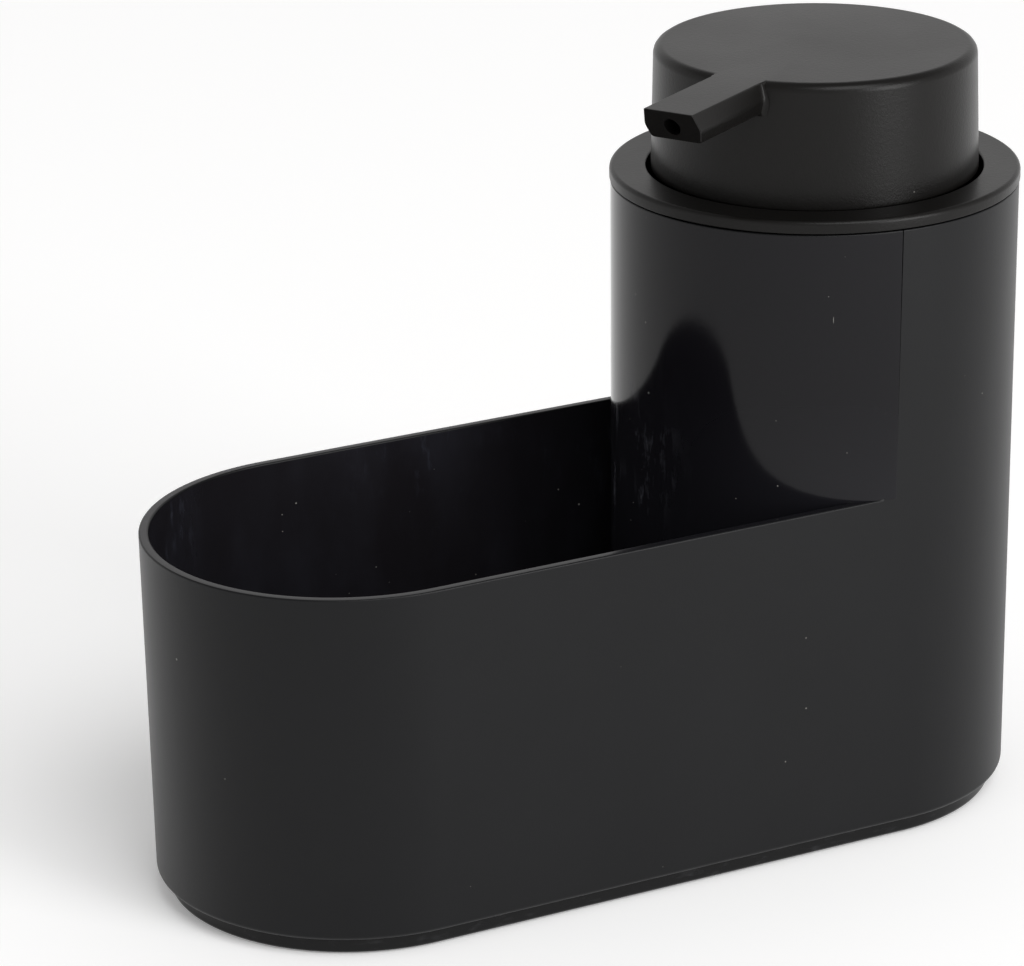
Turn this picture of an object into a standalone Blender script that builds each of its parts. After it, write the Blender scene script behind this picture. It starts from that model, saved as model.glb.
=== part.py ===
"""Sink caddy with a soap dispenser: a long moulded housing whose right end rises as a round soap
tower, an open tray beside it, and a lotion pump with a wide round head that hangs in the tower.

Metres, +Z up. The origin is under the middle of the object, on the surface it stands on. +X runs
along the housing from the tray to the tower, and the camera side of the photograph is -Y.
"""

import math

import bmesh
import bpy
import numpy as np

# Housing: one moulding, a plan with two round ends, the tower on the right end.
AXIS_SPACING = 0.1091
HOUSING_RADIUS = 0.0419
RIM_HEIGHT = 0.0775
TOWER_HEIGHT = 0.1344
OUTER_DRAFT_SHARE = 0.008
INNER_DRAFT_SHARE = 0.008
TRAY_WALL = 0.0020
TRAY_FLOOR = 0.0090
FLOOR_THICKNESS = 0.0024
TRAY_FILLET = 0.0025
HOUSING_LOWER_EDGE = 0.0041
HOUSING_EDGE_ROUND = 0.0012
TOWER_EDGE = 0.0003
# The tray-facing half of the tower and the outer half meet at a seam this far before the axis. At
# the rim the tray-facing half stands a little proud there, and runs into the side wall further on.
SEAM_AT_TOP = 0.0042
SEAM_AT_RIM = 0.0050
FRONT_MEETS_WALL = 0.0080
# Reservoir bore: parallel where the collar plugs in, tapered below.
TOWER_WALL = 0.0022
BORE_PARALLEL = 0.0120
BORE_DRAFT_SHARE = 0.007
BORE_FILLET = 0.0020

# Base plate let into the housing's underside, with four pads.
BASE_INSET = 0.0025
BASE_EDGE_ROUND = 0.0006
BASE_WALL = 0.0020
BASE_WEB = 0.0027
RIB_THICKNESS = 0.0016
RIB_SETBACK = 0.0004
CROSS_RIBS = 5
PAD_RADIUS = 0.0060
PAD_THICKNESS = 0.0015
PAD_PROUD = 0.0003
PAD_EDGE = 0.0003
PAD_INSET = 0.0044
PAD_ANGLE = math.radians(50.7)

# Collar: flange on the tower's rim, plug with a seal, and the well that the head sinks into.
COLLAR_OVERHANG = 0.0002
COLLAR_FLANGE = 0.0026
COLLAR_TOP_ROUND = 0.0008
COLLAR_MOUTH_ROUND = 0.0004
COLLAR_UNDER_CHAMFER = 0.0002
COLLAR_WALL = 0.0018
WELL_FLOOR_THICKNESS = 0.0020
WELL_FILLET = 0.0010
WELL_OUTER_CHAMFER = 0.0008
UPPER_LIP = 0.0022
LOWER_LIP = 0.0014
SEAL_THICKNESS = 0.0029
LIP_CHAMFER = 0.0005
NECK_WALL = 0.0050
NECK_HEIGHT = 0.0050

# Pump head: a wide flat button with the spout moulded on.
HEAD_STANDING = 0.0256
HEAD_ROUND = 0.0020
HEAD_WALL = 0.0018
HEAD_TOP_WALL = 0.0016
HEAD_LOWER_EDGE = 0.0004
HEAD_SUNK = 0.0006
HEAD_RUN = 0.0009
HEAD_DRAFT_SHARE = 0.026
HEAD_BOSS_WALL = 0.0015
HEAD_BOSS_HEIGHT = 0.0080
PRESS_STROKE = 0.0140
PRESS_SPARE = 0.0020
SPOUT_LENGTH = 0.0271
SPOUT_WIDTH = 0.0111
SPOUT_SWELL = 0.0009
SPOUT_HEIGHT = 0.0066
SPOUT_UNDERCUT = 0.0034
SPOUT_CORNER = 0.0009
SPOUT_FLARE = 0.0006
FLARE_SHARES = (0.0, 0.2, 0.5, 1.0)
# Down the spout's side from its top edge to its lower corner: how far down, and how far out.
SIDE_SHARES = ((0.0, 0.0), (0.54, 0.92), (0.64, 1.0), (0.73, 0.86))
SPOUT_BORE = 0.0018
SPOUT_BORE_DROP = 0.0035
SPOUT_TURN = math.radians(30.9)

# Actuator core: takes the stem from below and leads the soap into the spout.
CORE_WALL = 0.0022
CORE_FOOT_REACH = 0.0015
CORE_FOOT_HEIGHT = 0.0012
CORE_SOCKET = 0.0080
NOZZLE_CLEARANCE = 0.0004
NOZZLE_WALL = 0.0006
NOZZLE_IN_SPOUT = 0.0050

# Pump: cylinder hung in the collar's neck, stem, piston, spring, valves and dip tube.
CYLINDER_BORE = 0.0056
CYLINDER_WALL = 0.0012
CYLINDER_FLANGE = 0.0014
GASKET_THICKNESS = 0.0010
GUIDE_FLANGE = 0.0012
GUIDE_FLANGE_REACH = 0.0022
GUIDE_PLUG = 0.0050
GUIDE_NECK_WALL = 0.0022
GUIDE_NECK_HEIGHT = 0.0028
NUT_WALL = 0.0022
NUT_TOP = 0.0016
NUT_RIB = 0.0005
NUT_RIBS = 18
NUT_EDGE = 0.0005
NUT_LIFT = 0.0006
STEM_WALL = 0.0010
STEM_STOP_CLEARANCE = 0.0010
STEM_STOP_HEIGHT = 0.0017
SPIGOT_WALL = 0.0009
PISTON_HEIGHT = 0.0088
PISTON_WALL = 0.0016
PISTON_LIP = 0.0020
FOLLOWER_FLANGE = 0.0015
FOLLOWER_CLEARANCE = 0.0008
FOLLOWER_SLEEVE = 0.0050
FOLLOWER_WALL = 0.0007
SPRING_CLEARANCE = 0.0010
SPRING_WIRE_RADIUS = 0.0004
SPRING_TURNS = 6.5
SPRING_LENGTH = 0.0222
CAGE_WALL = 0.0014
CAGE_BAR = 0.0012
BALL_RADIUS = 0.0020
BALL_PLAY = 0.0005
BALL_LIFT = 0.0012
VALVE_HOLE = 0.0014
SEAT_WALL = 0.0024
DIP_RADIUS = 0.0028
DIP_WALL = 0.0008
DIP_SOCKET = 0.0100
DIP_SOCKET_WALL = 0.0013
DIP_ABOVE_FLOOR = 0.0025

# Clearances: pieces that sit on each other, and pieces that run in each other.
SEAT_GAP = 0.0003
RUN_GAP = 0.0003
OVERRUN = 0.0010
WELD = 0.000001

# Facets round a wide piece, a narrow one, a quarter round of an edge, the seal's section, one turn
# of the spring, a ball, and one rib of the nut with the groove beside it.
WIDE_STEPS = 56
NARROW_STEPS = 24
ROUND_STEPS = 3
SEAL_STEPS = 8
SPRING_STEPS = 9
BALL_STEPS = 12
NUT_STEPS = 4
SMOOTH_ANGLE = math.radians(32)

# Places that follow from the sizes above: the collar and the head.
COLLAR_UNDERSIDE = TOWER_HEIGHT + SEAT_GAP
COLLAR_TOP = COLLAR_UNDERSIDE + COLLAR_FLANGE
TOWER_TOP_RADIUS = HOUSING_RADIUS + OUTER_DRAFT_SHARE * (TOWER_HEIGHT - RIM_HEIGHT)
COLLAR_RADIUS = TOWER_TOP_RADIUS + COLLAR_OVERHANG
TOWER_X = (AXIS_SPACING + HOUSING_RADIUS - COLLAR_RADIUS) / 2
BORE_RADIUS = TOWER_TOP_RADIUS - TOWER_WALL
PLUG_RADIUS = BORE_RADIUS - RUN_GAP
WELL_OUTSIDE = PLUG_RADIUS - SEAL_THICKNESS - SEAT_GAP
WELL_RADIUS = WELL_OUTSIDE - COLLAR_WALL
HEAD_TOP = COLLAR_TOP + HEAD_STANDING
HEAD_BOTTOM = COLLAR_TOP - HEAD_SUNK
HEAD_FOOT_RADIUS = WELL_RADIUS - HEAD_RUN
HEAD_RADIUS = HEAD_FOOT_RADIUS - HEAD_DRAFT_SHARE * (HEAD_TOP - HEAD_BOTTOM)
HEAD_CEILING = HEAD_TOP - HEAD_TOP_WALL
SPOUT_AXIS = HEAD_TOP - SPOUT_BORE_DROP
SPOUT_REACH = HEAD_RADIUS + SPOUT_LENGTH
WELL_FLOOR = HEAD_BOTTOM - PRESS_STROKE - PRESS_SPARE

# Radii of the pump, from the ball outwards.
VALVE_CHAMBER = BALL_RADIUS + BALL_PLAY
STEM_RADIUS = VALVE_CHAMBER + STEM_WALL
GUIDE_BORE = STEM_RADIUS + RUN_GAP
GUIDE_NECK_RADIUS = GUIDE_BORE + GUIDE_NECK_WALL
CORE_RADIUS = GUIDE_BORE + CORE_WALL
SPIGOT_RADIUS = VALVE_HOLE + SPIGOT_WALL
PISTON_BORE = SPIGOT_RADIUS + SEAT_GAP
CYLINDER_RADIUS = CYLINDER_BORE + CYLINDER_WALL
NECK_HOLE = CYLINDER_RADIUS + RUN_GAP
NECK_RADIUS = NECK_HOLE + NECK_WALL
FLANGE_RADIUS = NECK_RADIUS - SEAT_GAP
NOZZLE_RADIUS = SPOUT_BORE - NOZZLE_CLEARANCE

# Heights of the pump, from the collar's neck up and then down.
GASKET_BOTTOM = WELL_FLOOR + NECK_HEIGHT + SEAT_GAP
GASKET_TOP = GASKET_BOTTOM + GASKET_THICKNESS
FLANGE_BOTTOM = GASKET_TOP + SEAT_GAP
FLANGE_TOP = FLANGE_BOTTOM + CYLINDER_FLANGE
GUIDE_BOTTOM = FLANGE_TOP + SEAT_GAP
GUIDE_FLANGE_TOP = GUIDE_BOTTOM + GUIDE_FLANGE
GUIDE_TOP = GUIDE_FLANGE_TOP + GUIDE_NECK_HEIGHT
CORE_BOTTOM = GUIDE_TOP + PRESS_STROKE + 2 * SEAT_GAP
SOCKET_TOP = CORE_BOTTOM + CORE_SOCKET
STEM_TOP = SOCKET_TOP - SEAT_GAP
GUIDE_PLUG_BOTTOM = GUIDE_BOTTOM - GUIDE_PLUG
STOP_TOP = GUIDE_PLUG_BOTTOM - SEAT_GAP
STOP_BOTTOM = STOP_TOP - STEM_STOP_HEIGHT
PISTON_TOP = STOP_BOTTOM - SEAT_GAP
PISTON_BOTTOM = PISTON_TOP - PISTON_HEIGHT
FOLLOWER_TOP = PISTON_BOTTOM - SEAT_GAP
FOLLOWER_SHOULDER = FOLLOWER_TOP - FOLLOWER_FLANGE
FOLLOWER_BOTTOM = FOLLOWER_SHOULDER - FOLLOWER_SLEEVE
SPRING_TOP = FOLLOWER_SHOULDER - SEAT_GAP
SPRING_BOTTOM = SPRING_TOP - SPRING_LENGTH
CAGE_TOP = SPRING_BOTTOM - SEAT_GAP

# A ball rests the seat gap away from a 45 degree cone, this far above the cone's hole.
BALL_SEATED = (BALL_RADIUS + SEAT_GAP) * math.sqrt(2) - VALVE_HOLE
OUTLET_BALL_TOP = SOCKET_TOP - SEAT_GAP - BALL_LIFT
OUTLET_BALL = OUTLET_BALL_TOP - BALL_RADIUS
OUTLET_SEAT = OUTLET_BALL - BALL_SEATED
CAGE_BAR_TOP = CAGE_TOP - RIB_SETBACK
INLET_BALL = CAGE_BAR_TOP - CAGE_BAR - SEAT_GAP - BALL_LIFT - BALL_RADIUS
INLET_SEAT = INLET_BALL - BALL_SEATED
BORE_FLOOR = INLET_SEAT + SEAT_WALL
CAGE_BOTTOM = BORE_FLOOR + SEAT_GAP
DIP_TOP = INLET_SEAT - SEAT_WALL - SEAT_GAP
DIP_SOCKET_BOTTOM = DIP_TOP - DIP_SOCKET
DIP_BOTTOM = TRAY_FLOOR + DIP_ABOVE_FLOOR


def clear_scene():
    for obj in list(bpy.data.objects):
        bpy.data.objects.remove(obj, do_unlink=True)


def plastic(name, colour, roughness, metallic=0.0):
    """A Principled material in one plain colour."""
    material = bpy.data.materials.new(name)
    material.use_nodes = True
    shader = material.node_tree.nodes["Principled BSDF"]
    shader.inputs["Base Color"].default_value = (*colour, 1.0)
    shader.inputs["Roughness"].default_value = roughness
    shader.inputs["Metallic"].default_value = metallic
    material.diffuse_color = (*colour, 1.0)
    return material


def pivot(name, x, turn=0.0, parent=None):
    """An empty on a vertical axis, which carries the pieces that share that axis."""
    empty = bpy.data.objects.new(name, None)
    bpy.context.collection.objects.link(empty)
    empty.location = (x, 0.0, 0.0)
    empty.rotation_euler = (0.0, 0.0, turn)
    empty.parent = parent
    return empty


def solid(name, bm, parent, material=None):
    """Closes a bmesh into a named object with outward faces and smooth rounds."""
    bmesh.ops.remove_doubles(bm, verts=bm.verts, dist=WELD)
    bmesh.ops.recalc_face_normals(bm, faces=bm.faces)
    mesh = bpy.data.meshes.new(name)
    bm.to_mesh(mesh)
    bm.free()
    mesh.shade_smooth()
    mesh.set_sharp_from_angle(angle=SMOOTH_ANGLE)
    obj = bpy.data.objects.new(name, mesh)
    bpy.context.collection.objects.link(obj)
    obj.parent = parent
    if material:
        mesh.materials.append(material)
    return obj


def combine(target, tool, operation):
    """Cuts the tool out of the target or joins it on, and hides the tool."""
    modifier = target.modifiers.new(f"{operation.lower()} {tool.name}", "BOOLEAN")
    modifier.operation = operation
    modifier.solver = "EXACT"
    modifier.object = tool
    tool.hide_render = True
    tool.display_type = "WIRE"


def cut(target, tool):
    combine(target, tool, "DIFFERENCE")


def join(target, tool):
    combine(target, tool, "UNION")


def turn_profile(bm, profile, steps):
    """Spins a profile of (radius, height) points once round Z. One that ends on the axis stays open."""
    points = [bm.verts.new((radius, 0.0, height)) for radius, height in profile]
    on_axis = profile[0][0] == 0.0 and profile[-1][0] == 0.0
    ends = points[1:] if on_axis else points[1:] + points[:1]
    edges = [bm.edges.new(pair) for pair in zip(points, ends)]
    bmesh.ops.spin(
        bm,
        geom=points + edges,
        cent=(0.0, 0.0, 0.0),
        axis=(0.0, 0.0, 1.0),
        angle=math.tau,
        steps=steps,
    )


def turned(name, profile, parent, material=None, steps=NARROW_STEPS):
    bm = bmesh.new()
    turn_profile(bm, profile, steps)
    return solid(name, bm, parent, material)


def quarter(radius, height, round_radius, start):
    """Points of a quarter round in a profile, its centre at (radius, height), from angle start down."""
    angles = np.linspace(start, start - math.pi / 2, ROUND_STEPS + 1)
    return [
        (radius + round_radius * math.cos(a), height + round_radius * math.sin(a)) for a in angles
    ]


def hollow(radius, height, round_radius, start):
    """The same quarter round run the other way, for an inside corner."""
    angles = np.linspace(start, start + math.pi / 2, ROUND_STEPS + 1)
    return [
        (radius + round_radius * math.cos(a), height + round_radius * math.sin(a)) for a in angles
    ]


def sheet(bm, rows, closed=False):
    """Quads between neighbouring rows of points, every row with as many points."""
    verts = [[bm.verts.new(point) for point in row] for row in rows]
    for low, high in zip(verts, verts[1:]):
        count = len(low)
        for i in range(count if closed else count - 1):
            j = (i + 1) % count
            bm.faces.new((low[i], low[j], high[j], high[i]))


def panel(bm, points):
    bm.faces.new([bm.verts.new(point) for point in points])


def loft(bm, rows):
    """A closed solid through level outlines, with a flat face at each end."""
    sheet(bm, rows, closed=True)
    panel(bm, rows[0])
    panel(bm, rows[-1])


def arc(radius, start, end, steps, height, centre_x=0.0):
    return [
        (centre_x + radius * math.cos(a), radius * math.sin(a), height)
        for a in np.linspace(start, end, steps + 1)
    ]


def stadium(radius, height):
    """Level outline with two round ends, anticlockwise, about the tower and tray-end axes."""
    half = WIDE_STEPS // 2
    right = arc(radius, -math.pi / 2, math.pi / 2, half, height)
    left = arc(radius, math.pi / 2, 1.5 * math.pi, half, height, -AXIS_SPACING)
    return right + left


def outer_radius(height):
    return HOUSING_RADIUS + OUTER_DRAFT_SHARE * (height - RIM_HEIGHT)


def box(name, low, high, parent):
    """A plain block, mostly for cuts and ribs, from its two corners."""
    bm = bmesh.new()
    bmesh.ops.create_cube(bm, size=1.0)
    for vert in bm.verts:
        for axis in range(3):
            vert.co[axis] = high[axis] if vert.co[axis] > 0 else low[axis]
    return solid(name, bm, parent)


def rod_along_x(name, radius, start, end, height, parent, steps=NARROW_STEPS):
    """A round rod parallel to X between two places, for bores and the nozzle tube."""
    bm = bmesh.new()
    rows = [
        [
            (x, radius * math.cos(a), height + radius * math.sin(a))
            for a in np.linspace(0.0, math.tau, steps, endpoint=False)
        ]
        for x in (start, end)
    ]
    loft(bm, rows)
    return solid(name, bm, parent)


def tray_rows(height, inset):
    """The tray's inner outline at a height: its wall, and the arc of the tower that closes it.

    The wall and the tower run together in a cusp on each side."""
    half = WIDE_STEPS // 2
    depth = RIM_HEIGHT - height
    wall_radius = HOUSING_RADIUS - TRAY_WALL - INNER_DRAFT_SHARE * depth - inset
    tower_radius = front_radius_at_rim() + INNER_DRAFT_SHARE * depth + inset
    cusp = math.pi - math.asin(wall_radius / tower_radius)
    cusp_x = tower_radius * math.cos(cusp)
    end = arc(wall_radius, math.pi / 2, 1.5 * math.pi, half, height, -AXIS_SPACING)
    wall = [(cusp_x, wall_radius, height)] + end + [(cusp_x, -wall_radius, height)]
    front = arc(tower_radius, math.tau - cusp, cusp, half, height)
    return wall, front


def front_radius_at_rim():
    """The radius at which the tray-facing half runs into the straight side wall at the rim."""
    return math.hypot(HOUSING_RADIUS, FRONT_MEETS_WALL)


def housing_shell(bm):
    """The outer walls, rim, tray and tower as one closed surface, the tower still solid."""
    half = WIDE_STEPS // 2
    foot_z = HOUSING_LOWER_EDGE
    rounds = np.linspace(0.0, math.pi / 2, ROUND_STEPS + 1)
    levels = [
        (
            foot_z + HOUSING_EDGE_ROUND * (1 - math.cos(a)),
            HOUSING_EDGE_ROUND * (1 - math.sin(a)),
        )
        for a in rounds
    ]
    levels.append((RIM_HEIGHT, 0.0))

    def wall_row(height, inset):
        radius = outer_radius(height) - inset
        row = stadium(radius, height)
        right, left = row[: half + 1], row[half + 1 :]
        rear = [(x, radius, height) for x in (-SEAM_AT_RIM, -FRONT_MEETS_WALL)]
        near = [(x, -radius, height) for x in (-FRONT_MEETS_WALL, -SEAM_AT_RIM)]
        return right + rear + left + near

    rows = [wall_row(height, inset) for height, inset in levels]
    sheet(bm, rows, closed=True)
    panel(bm, rows[0])

    crown = TOWER_HEIGHT - TOWER_EDGE
    crown_radius = outer_radius(crown)
    front_radius = front_radius_at_rim()
    wall = tray_rows(RIM_HEIGHT, 0.0)[0]
    cusp = math.pi - math.asin((HOUSING_RADIUS - TRAY_WALL) / front_radius)
    meeting = math.pi - math.asin(HOUSING_RADIUS / front_radius)

    def on_seam(radius, setback, height):
        across = math.sqrt(radius**2 - setback**2)
        return (-setback, -across, height), (-setback, across, height)

    def outer_row(radius, height, ends):
        return [ends[0]] + arc(radius, -math.pi / 2, math.pi / 2, half, height) + [ends[1]]

    def front_row(radius, setback, height):
        near, rear = on_seam(radius, setback, height)
        left = [rear] + arc(radius, meeting, cusp, 1, height)[:1]
        right = arc(radius, math.tau - cusp, math.tau - meeting, 1, height)[1:] + [near]
        return left + arc(radius, cusp, math.tau - cusp, half, height) + right

    # At the rim the outer half carries on from the straight side wall.
    top_radius = crown_radius - TOWER_EDGE
    wall_ends = [(-SEAM_AT_RIM, side * HOUSING_RADIUS, RIM_HEIGHT) for side in (-1, 1)]
    outer_rows = [
        outer_row(HOUSING_RADIUS, RIM_HEIGHT, wall_ends),
        outer_row(crown_radius, crown, on_seam(crown_radius, SEAM_AT_TOP, crown)),
        outer_row(top_radius, TOWER_HEIGHT, on_seam(top_radius, SEAM_AT_TOP, TOWER_HEIGHT)),
    ]
    front_rows = [
        front_row(front_radius, SEAM_AT_RIM, RIM_HEIGHT),
        front_row(crown_radius, SEAM_AT_TOP, crown),
        front_row(top_radius, SEAM_AT_TOP, TOWER_HEIGHT),
    ]
    sheet(bm, outer_rows)
    sheet(bm, front_rows)
    panel(bm, outer_rows[2] + front_rows[2][1:-1])

    # The seam: a narrow step that dies out at the tower's top edge, and its underside at the rim.
    for outer_end, front_end, beside, top in (
        (outer_rows[0][0], front_rows[0][-1], front_rows[0][-2], outer_rows[1][0]),
        (outer_rows[0][-1], front_rows[0][0], front_rows[0][1], outer_rows[1][-1]),
    ):
        panel(bm, [outer_end, front_end, top])
        panel(bm, [outer_end, front_end, beside])

    # The flat rim: a straight stretch on each side and the band round the tray's end.
    rim = arc(HOUSING_RADIUS, math.pi / 2, 1.5 * math.pi, half, RIM_HEIGHT, -AXIS_SPACING)
    sheet(bm, [rim, wall[1:-1]])
    panel(bm, front_rows[0][1:3] + [wall[1], rim[0]])
    panel(bm, front_rows[0][-3:-1] + [rim[-1], wall[-2]])

    # The tray: its wall and the tower's foot, down to a filleted floor.
    levels = [(RIM_HEIGHT, 0.0)]
    levels += [
        (TRAY_FLOOR + TRAY_FILLET * (1 - math.sin(a)), TRAY_FILLET * (1 - math.cos(a)))
        for a in rounds
    ]
    pairs = [tray_rows(height, inset) for height, inset in levels]
    sheet(bm, [pair[0] for pair in pairs])
    sheet(bm, [pair[1] for pair in pairs])
    floor_wall, floor_front = pairs[-1]
    panel(bm, floor_wall + floor_front[1:-1])


def housing(parent, material):
    bm = bmesh.new()
    housing_shell(bm)
    body = solid("caddy_housing", bm, parent, material)

    parallel_end = TOWER_HEIGHT - BORE_PARALLEL
    floor_radius = BORE_RADIUS - BORE_DRAFT_SHARE * (parallel_end - TRAY_FLOOR)
    bore = [(0.0, TOWER_HEIGHT + OVERRUN), (BORE_RADIUS, TOWER_HEIGHT + OVERRUN)]
    bore.append((BORE_RADIUS, parallel_end))
    bore += quarter(floor_radius - BORE_FILLET, TRAY_FLOOR + BORE_FILLET, BORE_FILLET, 0.0)
    bore.append((0.0, TRAY_FLOOR))
    cut(body, turned("reservoir_bore", bore, parent, steps=WIDE_STEPS))

    recess = bmesh.new()
    radius = base_radius() + RUN_GAP
    loft(recess, [stadium(radius, z) for z in (HOUSING_LOWER_EDGE - OVERRUN, housing_underside())])
    cut(body, solid("base_recess", recess, parent))
    return body


def base_radius():
    return outer_radius(HOUSING_LOWER_EDGE) - BASE_INSET


def housing_underside():
    return TRAY_FLOOR - FLOOR_THICKNESS


def base_plate(parent, material):
    """A shallow dish with ribs, hidden in the housing, whose lower band shows as the foot."""
    radius = base_radius()
    top = housing_underside() - SEAT_GAP
    bottom = PAD_PROUD
    bm = bmesh.new()
    rounds = np.linspace(0.0, math.pi / 2, ROUND_STEPS + 1)
    rows = [
        stadium(
            radius - BASE_EDGE_ROUND * (1 - math.sin(a)),
            bottom + BASE_EDGE_ROUND * (1 - math.cos(a)),
        )
        for a in rounds
    ]
    loft(bm, rows + [stadium(radius, top)])
    plate = solid("base_plate", bm, parent, material)

    pocket = bmesh.new()
    web_top = bottom + BASE_WEB
    loft(pocket, [stadium(radius - BASE_WALL, z) for z in (web_top, top + OVERRUN)])
    cut(plate, solid("base_pocket", pocket, parent))

    half_rib = RIB_THICKNESS / 2
    rib_low = web_top - BASE_WALL / 2
    rib_high = top - RIB_SETBACK
    reach = radius - BASE_WALL / 2
    for index, x in enumerate(np.linspace(-AXIS_SPACING, 0.0, CROSS_RIBS)):
        low = (x - half_rib, -reach, rib_low)
        high = (x + half_rib, reach, rib_high)
        join(plate, box(f"cross_rib_{index}", low, high, parent))
    low = (-AXIS_SPACING - reach, -half_rib, rib_low)
    high = (reach, half_rib, rib_high - RIB_SETBACK)
    join(plate, box("long_rib", low, high, parent))

    depth = PAD_THICKNESS + SEAT_GAP
    for name, x, y in pad_places():
        profile = [(0.0, depth), (PAD_RADIUS + RUN_GAP, depth)]
        profile += [(PAD_RADIUS + RUN_GAP, bottom - OVERRUN), (0.0, bottom - OVERRUN)]
        recess = turned(f"{name}_recess", profile, parent)
        recess.location = (x, y, 0.0)
        cut(plate, recess)
    return plate


def pad_places():
    """Name and place of each pad, from the tower's axis. Each lies inside the plate's round end."""
    reach = base_radius() - PAD_INSET - PAD_RADIUS
    along = reach * math.cos(PAD_ANGLE)
    across = reach * math.sin(PAD_ANGLE)
    places = []
    for end, axis_x, outward in (("left", -AXIS_SPACING, -1), ("right", 0.0, 1)):
        for side, sign in (("front", -1), ("rear", 1)):
            places.append((f"foot_pad_{side}_{end}", axis_x + outward * along, sign * across))
    return places


def foot_pads(parent, material):
    profile = [
        (0.0, PAD_THICKNESS),
        (PAD_RADIUS, PAD_THICKNESS),
        (PAD_RADIUS, PAD_EDGE),
        (PAD_RADIUS - PAD_EDGE, 0.0),
        (0.0, 0.0),
    ]
    for name, x, y in pad_places():
        turned(name, profile, parent, material).location = (x, y, 0.0)


def collar(parent, material):
    """Flange, plug, well and neck in one turned moulding."""
    underside = WELL_FLOOR - WELL_FLOOR_THICKNESS
    neck_top = WELL_FLOOR + NECK_HEIGHT
    upper = COLLAR_UNDERSIDE - UPPER_LIP
    lower = upper - SEAL_THICKNESS - 2 * SEAT_GAP
    foot = lower - LOWER_LIP
    profile = quarter(
        COLLAR_RADIUS - COLLAR_TOP_ROUND, COLLAR_TOP - COLLAR_TOP_ROUND, COLLAR_TOP_ROUND, math.pi / 2
    )
    profile += [
        (COLLAR_RADIUS, COLLAR_UNDERSIDE + COLLAR_UNDER_CHAMFER),
        (COLLAR_RADIUS - COLLAR_UNDER_CHAMFER, COLLAR_UNDERSIDE),
        (PLUG_RADIUS, COLLAR_UNDERSIDE),
        (PLUG_RADIUS, upper),
        (WELL_OUTSIDE, upper),
        (WELL_OUTSIDE, lower),
        (PLUG_RADIUS, lower),
        (PLUG_RADIUS, foot + LIP_CHAMFER),
        (PLUG_RADIUS - LIP_CHAMFER, foot),
        (WELL_OUTSIDE, foot),
        (WELL_OUTSIDE, underside + WELL_OUTER_CHAMFER),
        (WELL_OUTSIDE - WELL_OUTER_CHAMFER, underside),
        (NECK_HOLE, underside),
        (NECK_HOLE, neck_top),
        (NECK_RADIUS, neck_top),
        (NECK_RADIUS, WELL_FLOOR),
    ]
    profile += hollow(WELL_RADIUS - WELL_FILLET, WELL_FLOOR + WELL_FILLET, WELL_FILLET, -math.pi / 2)
    profile += [
        (WELL_RADIUS, COLLAR_TOP - COLLAR_MOUTH_ROUND),
        (WELL_RADIUS + COLLAR_MOUTH_ROUND, COLLAR_TOP),
    ]
    return turned("collar", profile, parent, material, WIDE_STEPS)


def collar_seal(parent, material):
    """Round rubber ring between the two lips of the collar's plug."""
    half = SEAL_THICKNESS / 2
    radius = PLUG_RADIUS - half
    height = COLLAR_UNDERSIDE - UPPER_LIP - SEAT_GAP - half
    angles = np.linspace(0.0, -math.tau, SEAL_STEPS, endpoint=False)
    profile = [(radius + half * math.cos(a), height + half * math.sin(a)) for a in angles]
    return turned("collar_seal_ring", profile, parent, material, 2 * NARROW_STEPS)


def spout_outline(x_top, width, grow, drop, lean=0.0):
    """Section of the spout: flat top, sides that lean out to a soft crease and back, round corners.

    Its lower edge leans back by lean. Grow widens it and drop lowers its underside."""
    half = width / 2
    height = SPOUT_HEIGHT + drop
    side = []
    for down, out in SIDE_SHARES:
        swell = SPOUT_SWELL * out
        side.append((half + grow * math.sqrt(down) + swell, down * (height - SPOUT_CORNER)))
    corner = half + grow - SPOUT_CORNER
    for a in np.linspace(0.0, math.pi / 2, ROUND_STEPS + 1):
        side.append((corner + SPOUT_CORNER * math.cos(a), height - SPOUT_CORNER * (1 - math.sin(a))))
    points = [(y, depth) for y, depth in side] + [(-y, depth) for y, depth in reversed(side)]
    return [(x_top + lean * depth / SPOUT_HEIGHT, y, HEAD_TOP - depth) for y, depth in points]


def spout_bar(parent):
    """The bar along -X, from inside the head's edge round to its undercut end face."""
    inner_x = -(HEAD_RADIUS - HEAD_ROUND - HEAD_TOP_WALL)
    wall_x = -math.sqrt(HEAD_RADIUS**2 - (SPOUT_WIDTH / 2) ** 2)
    rows = [spout_outline(inner_x, SPOUT_WIDTH, SPOUT_FLARE, SPOUT_FLARE)]
    for share in FLARE_SHARES:
        away = SPOUT_FLARE * share
        grow = SPOUT_FLARE - math.sqrt(SPOUT_FLARE**2 - (SPOUT_FLARE - away) ** 2)
        rows.append(spout_outline(wall_x - away, SPOUT_WIDTH, grow, grow))
    rows.append(spout_outline(-SPOUT_REACH, SPOUT_WIDTH, 0.0, 0.0, lean=SPOUT_UNDERCUT))
    bm = bmesh.new()
    loft(bm, rows)
    return solid("spout_bar", bm, parent)


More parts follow.
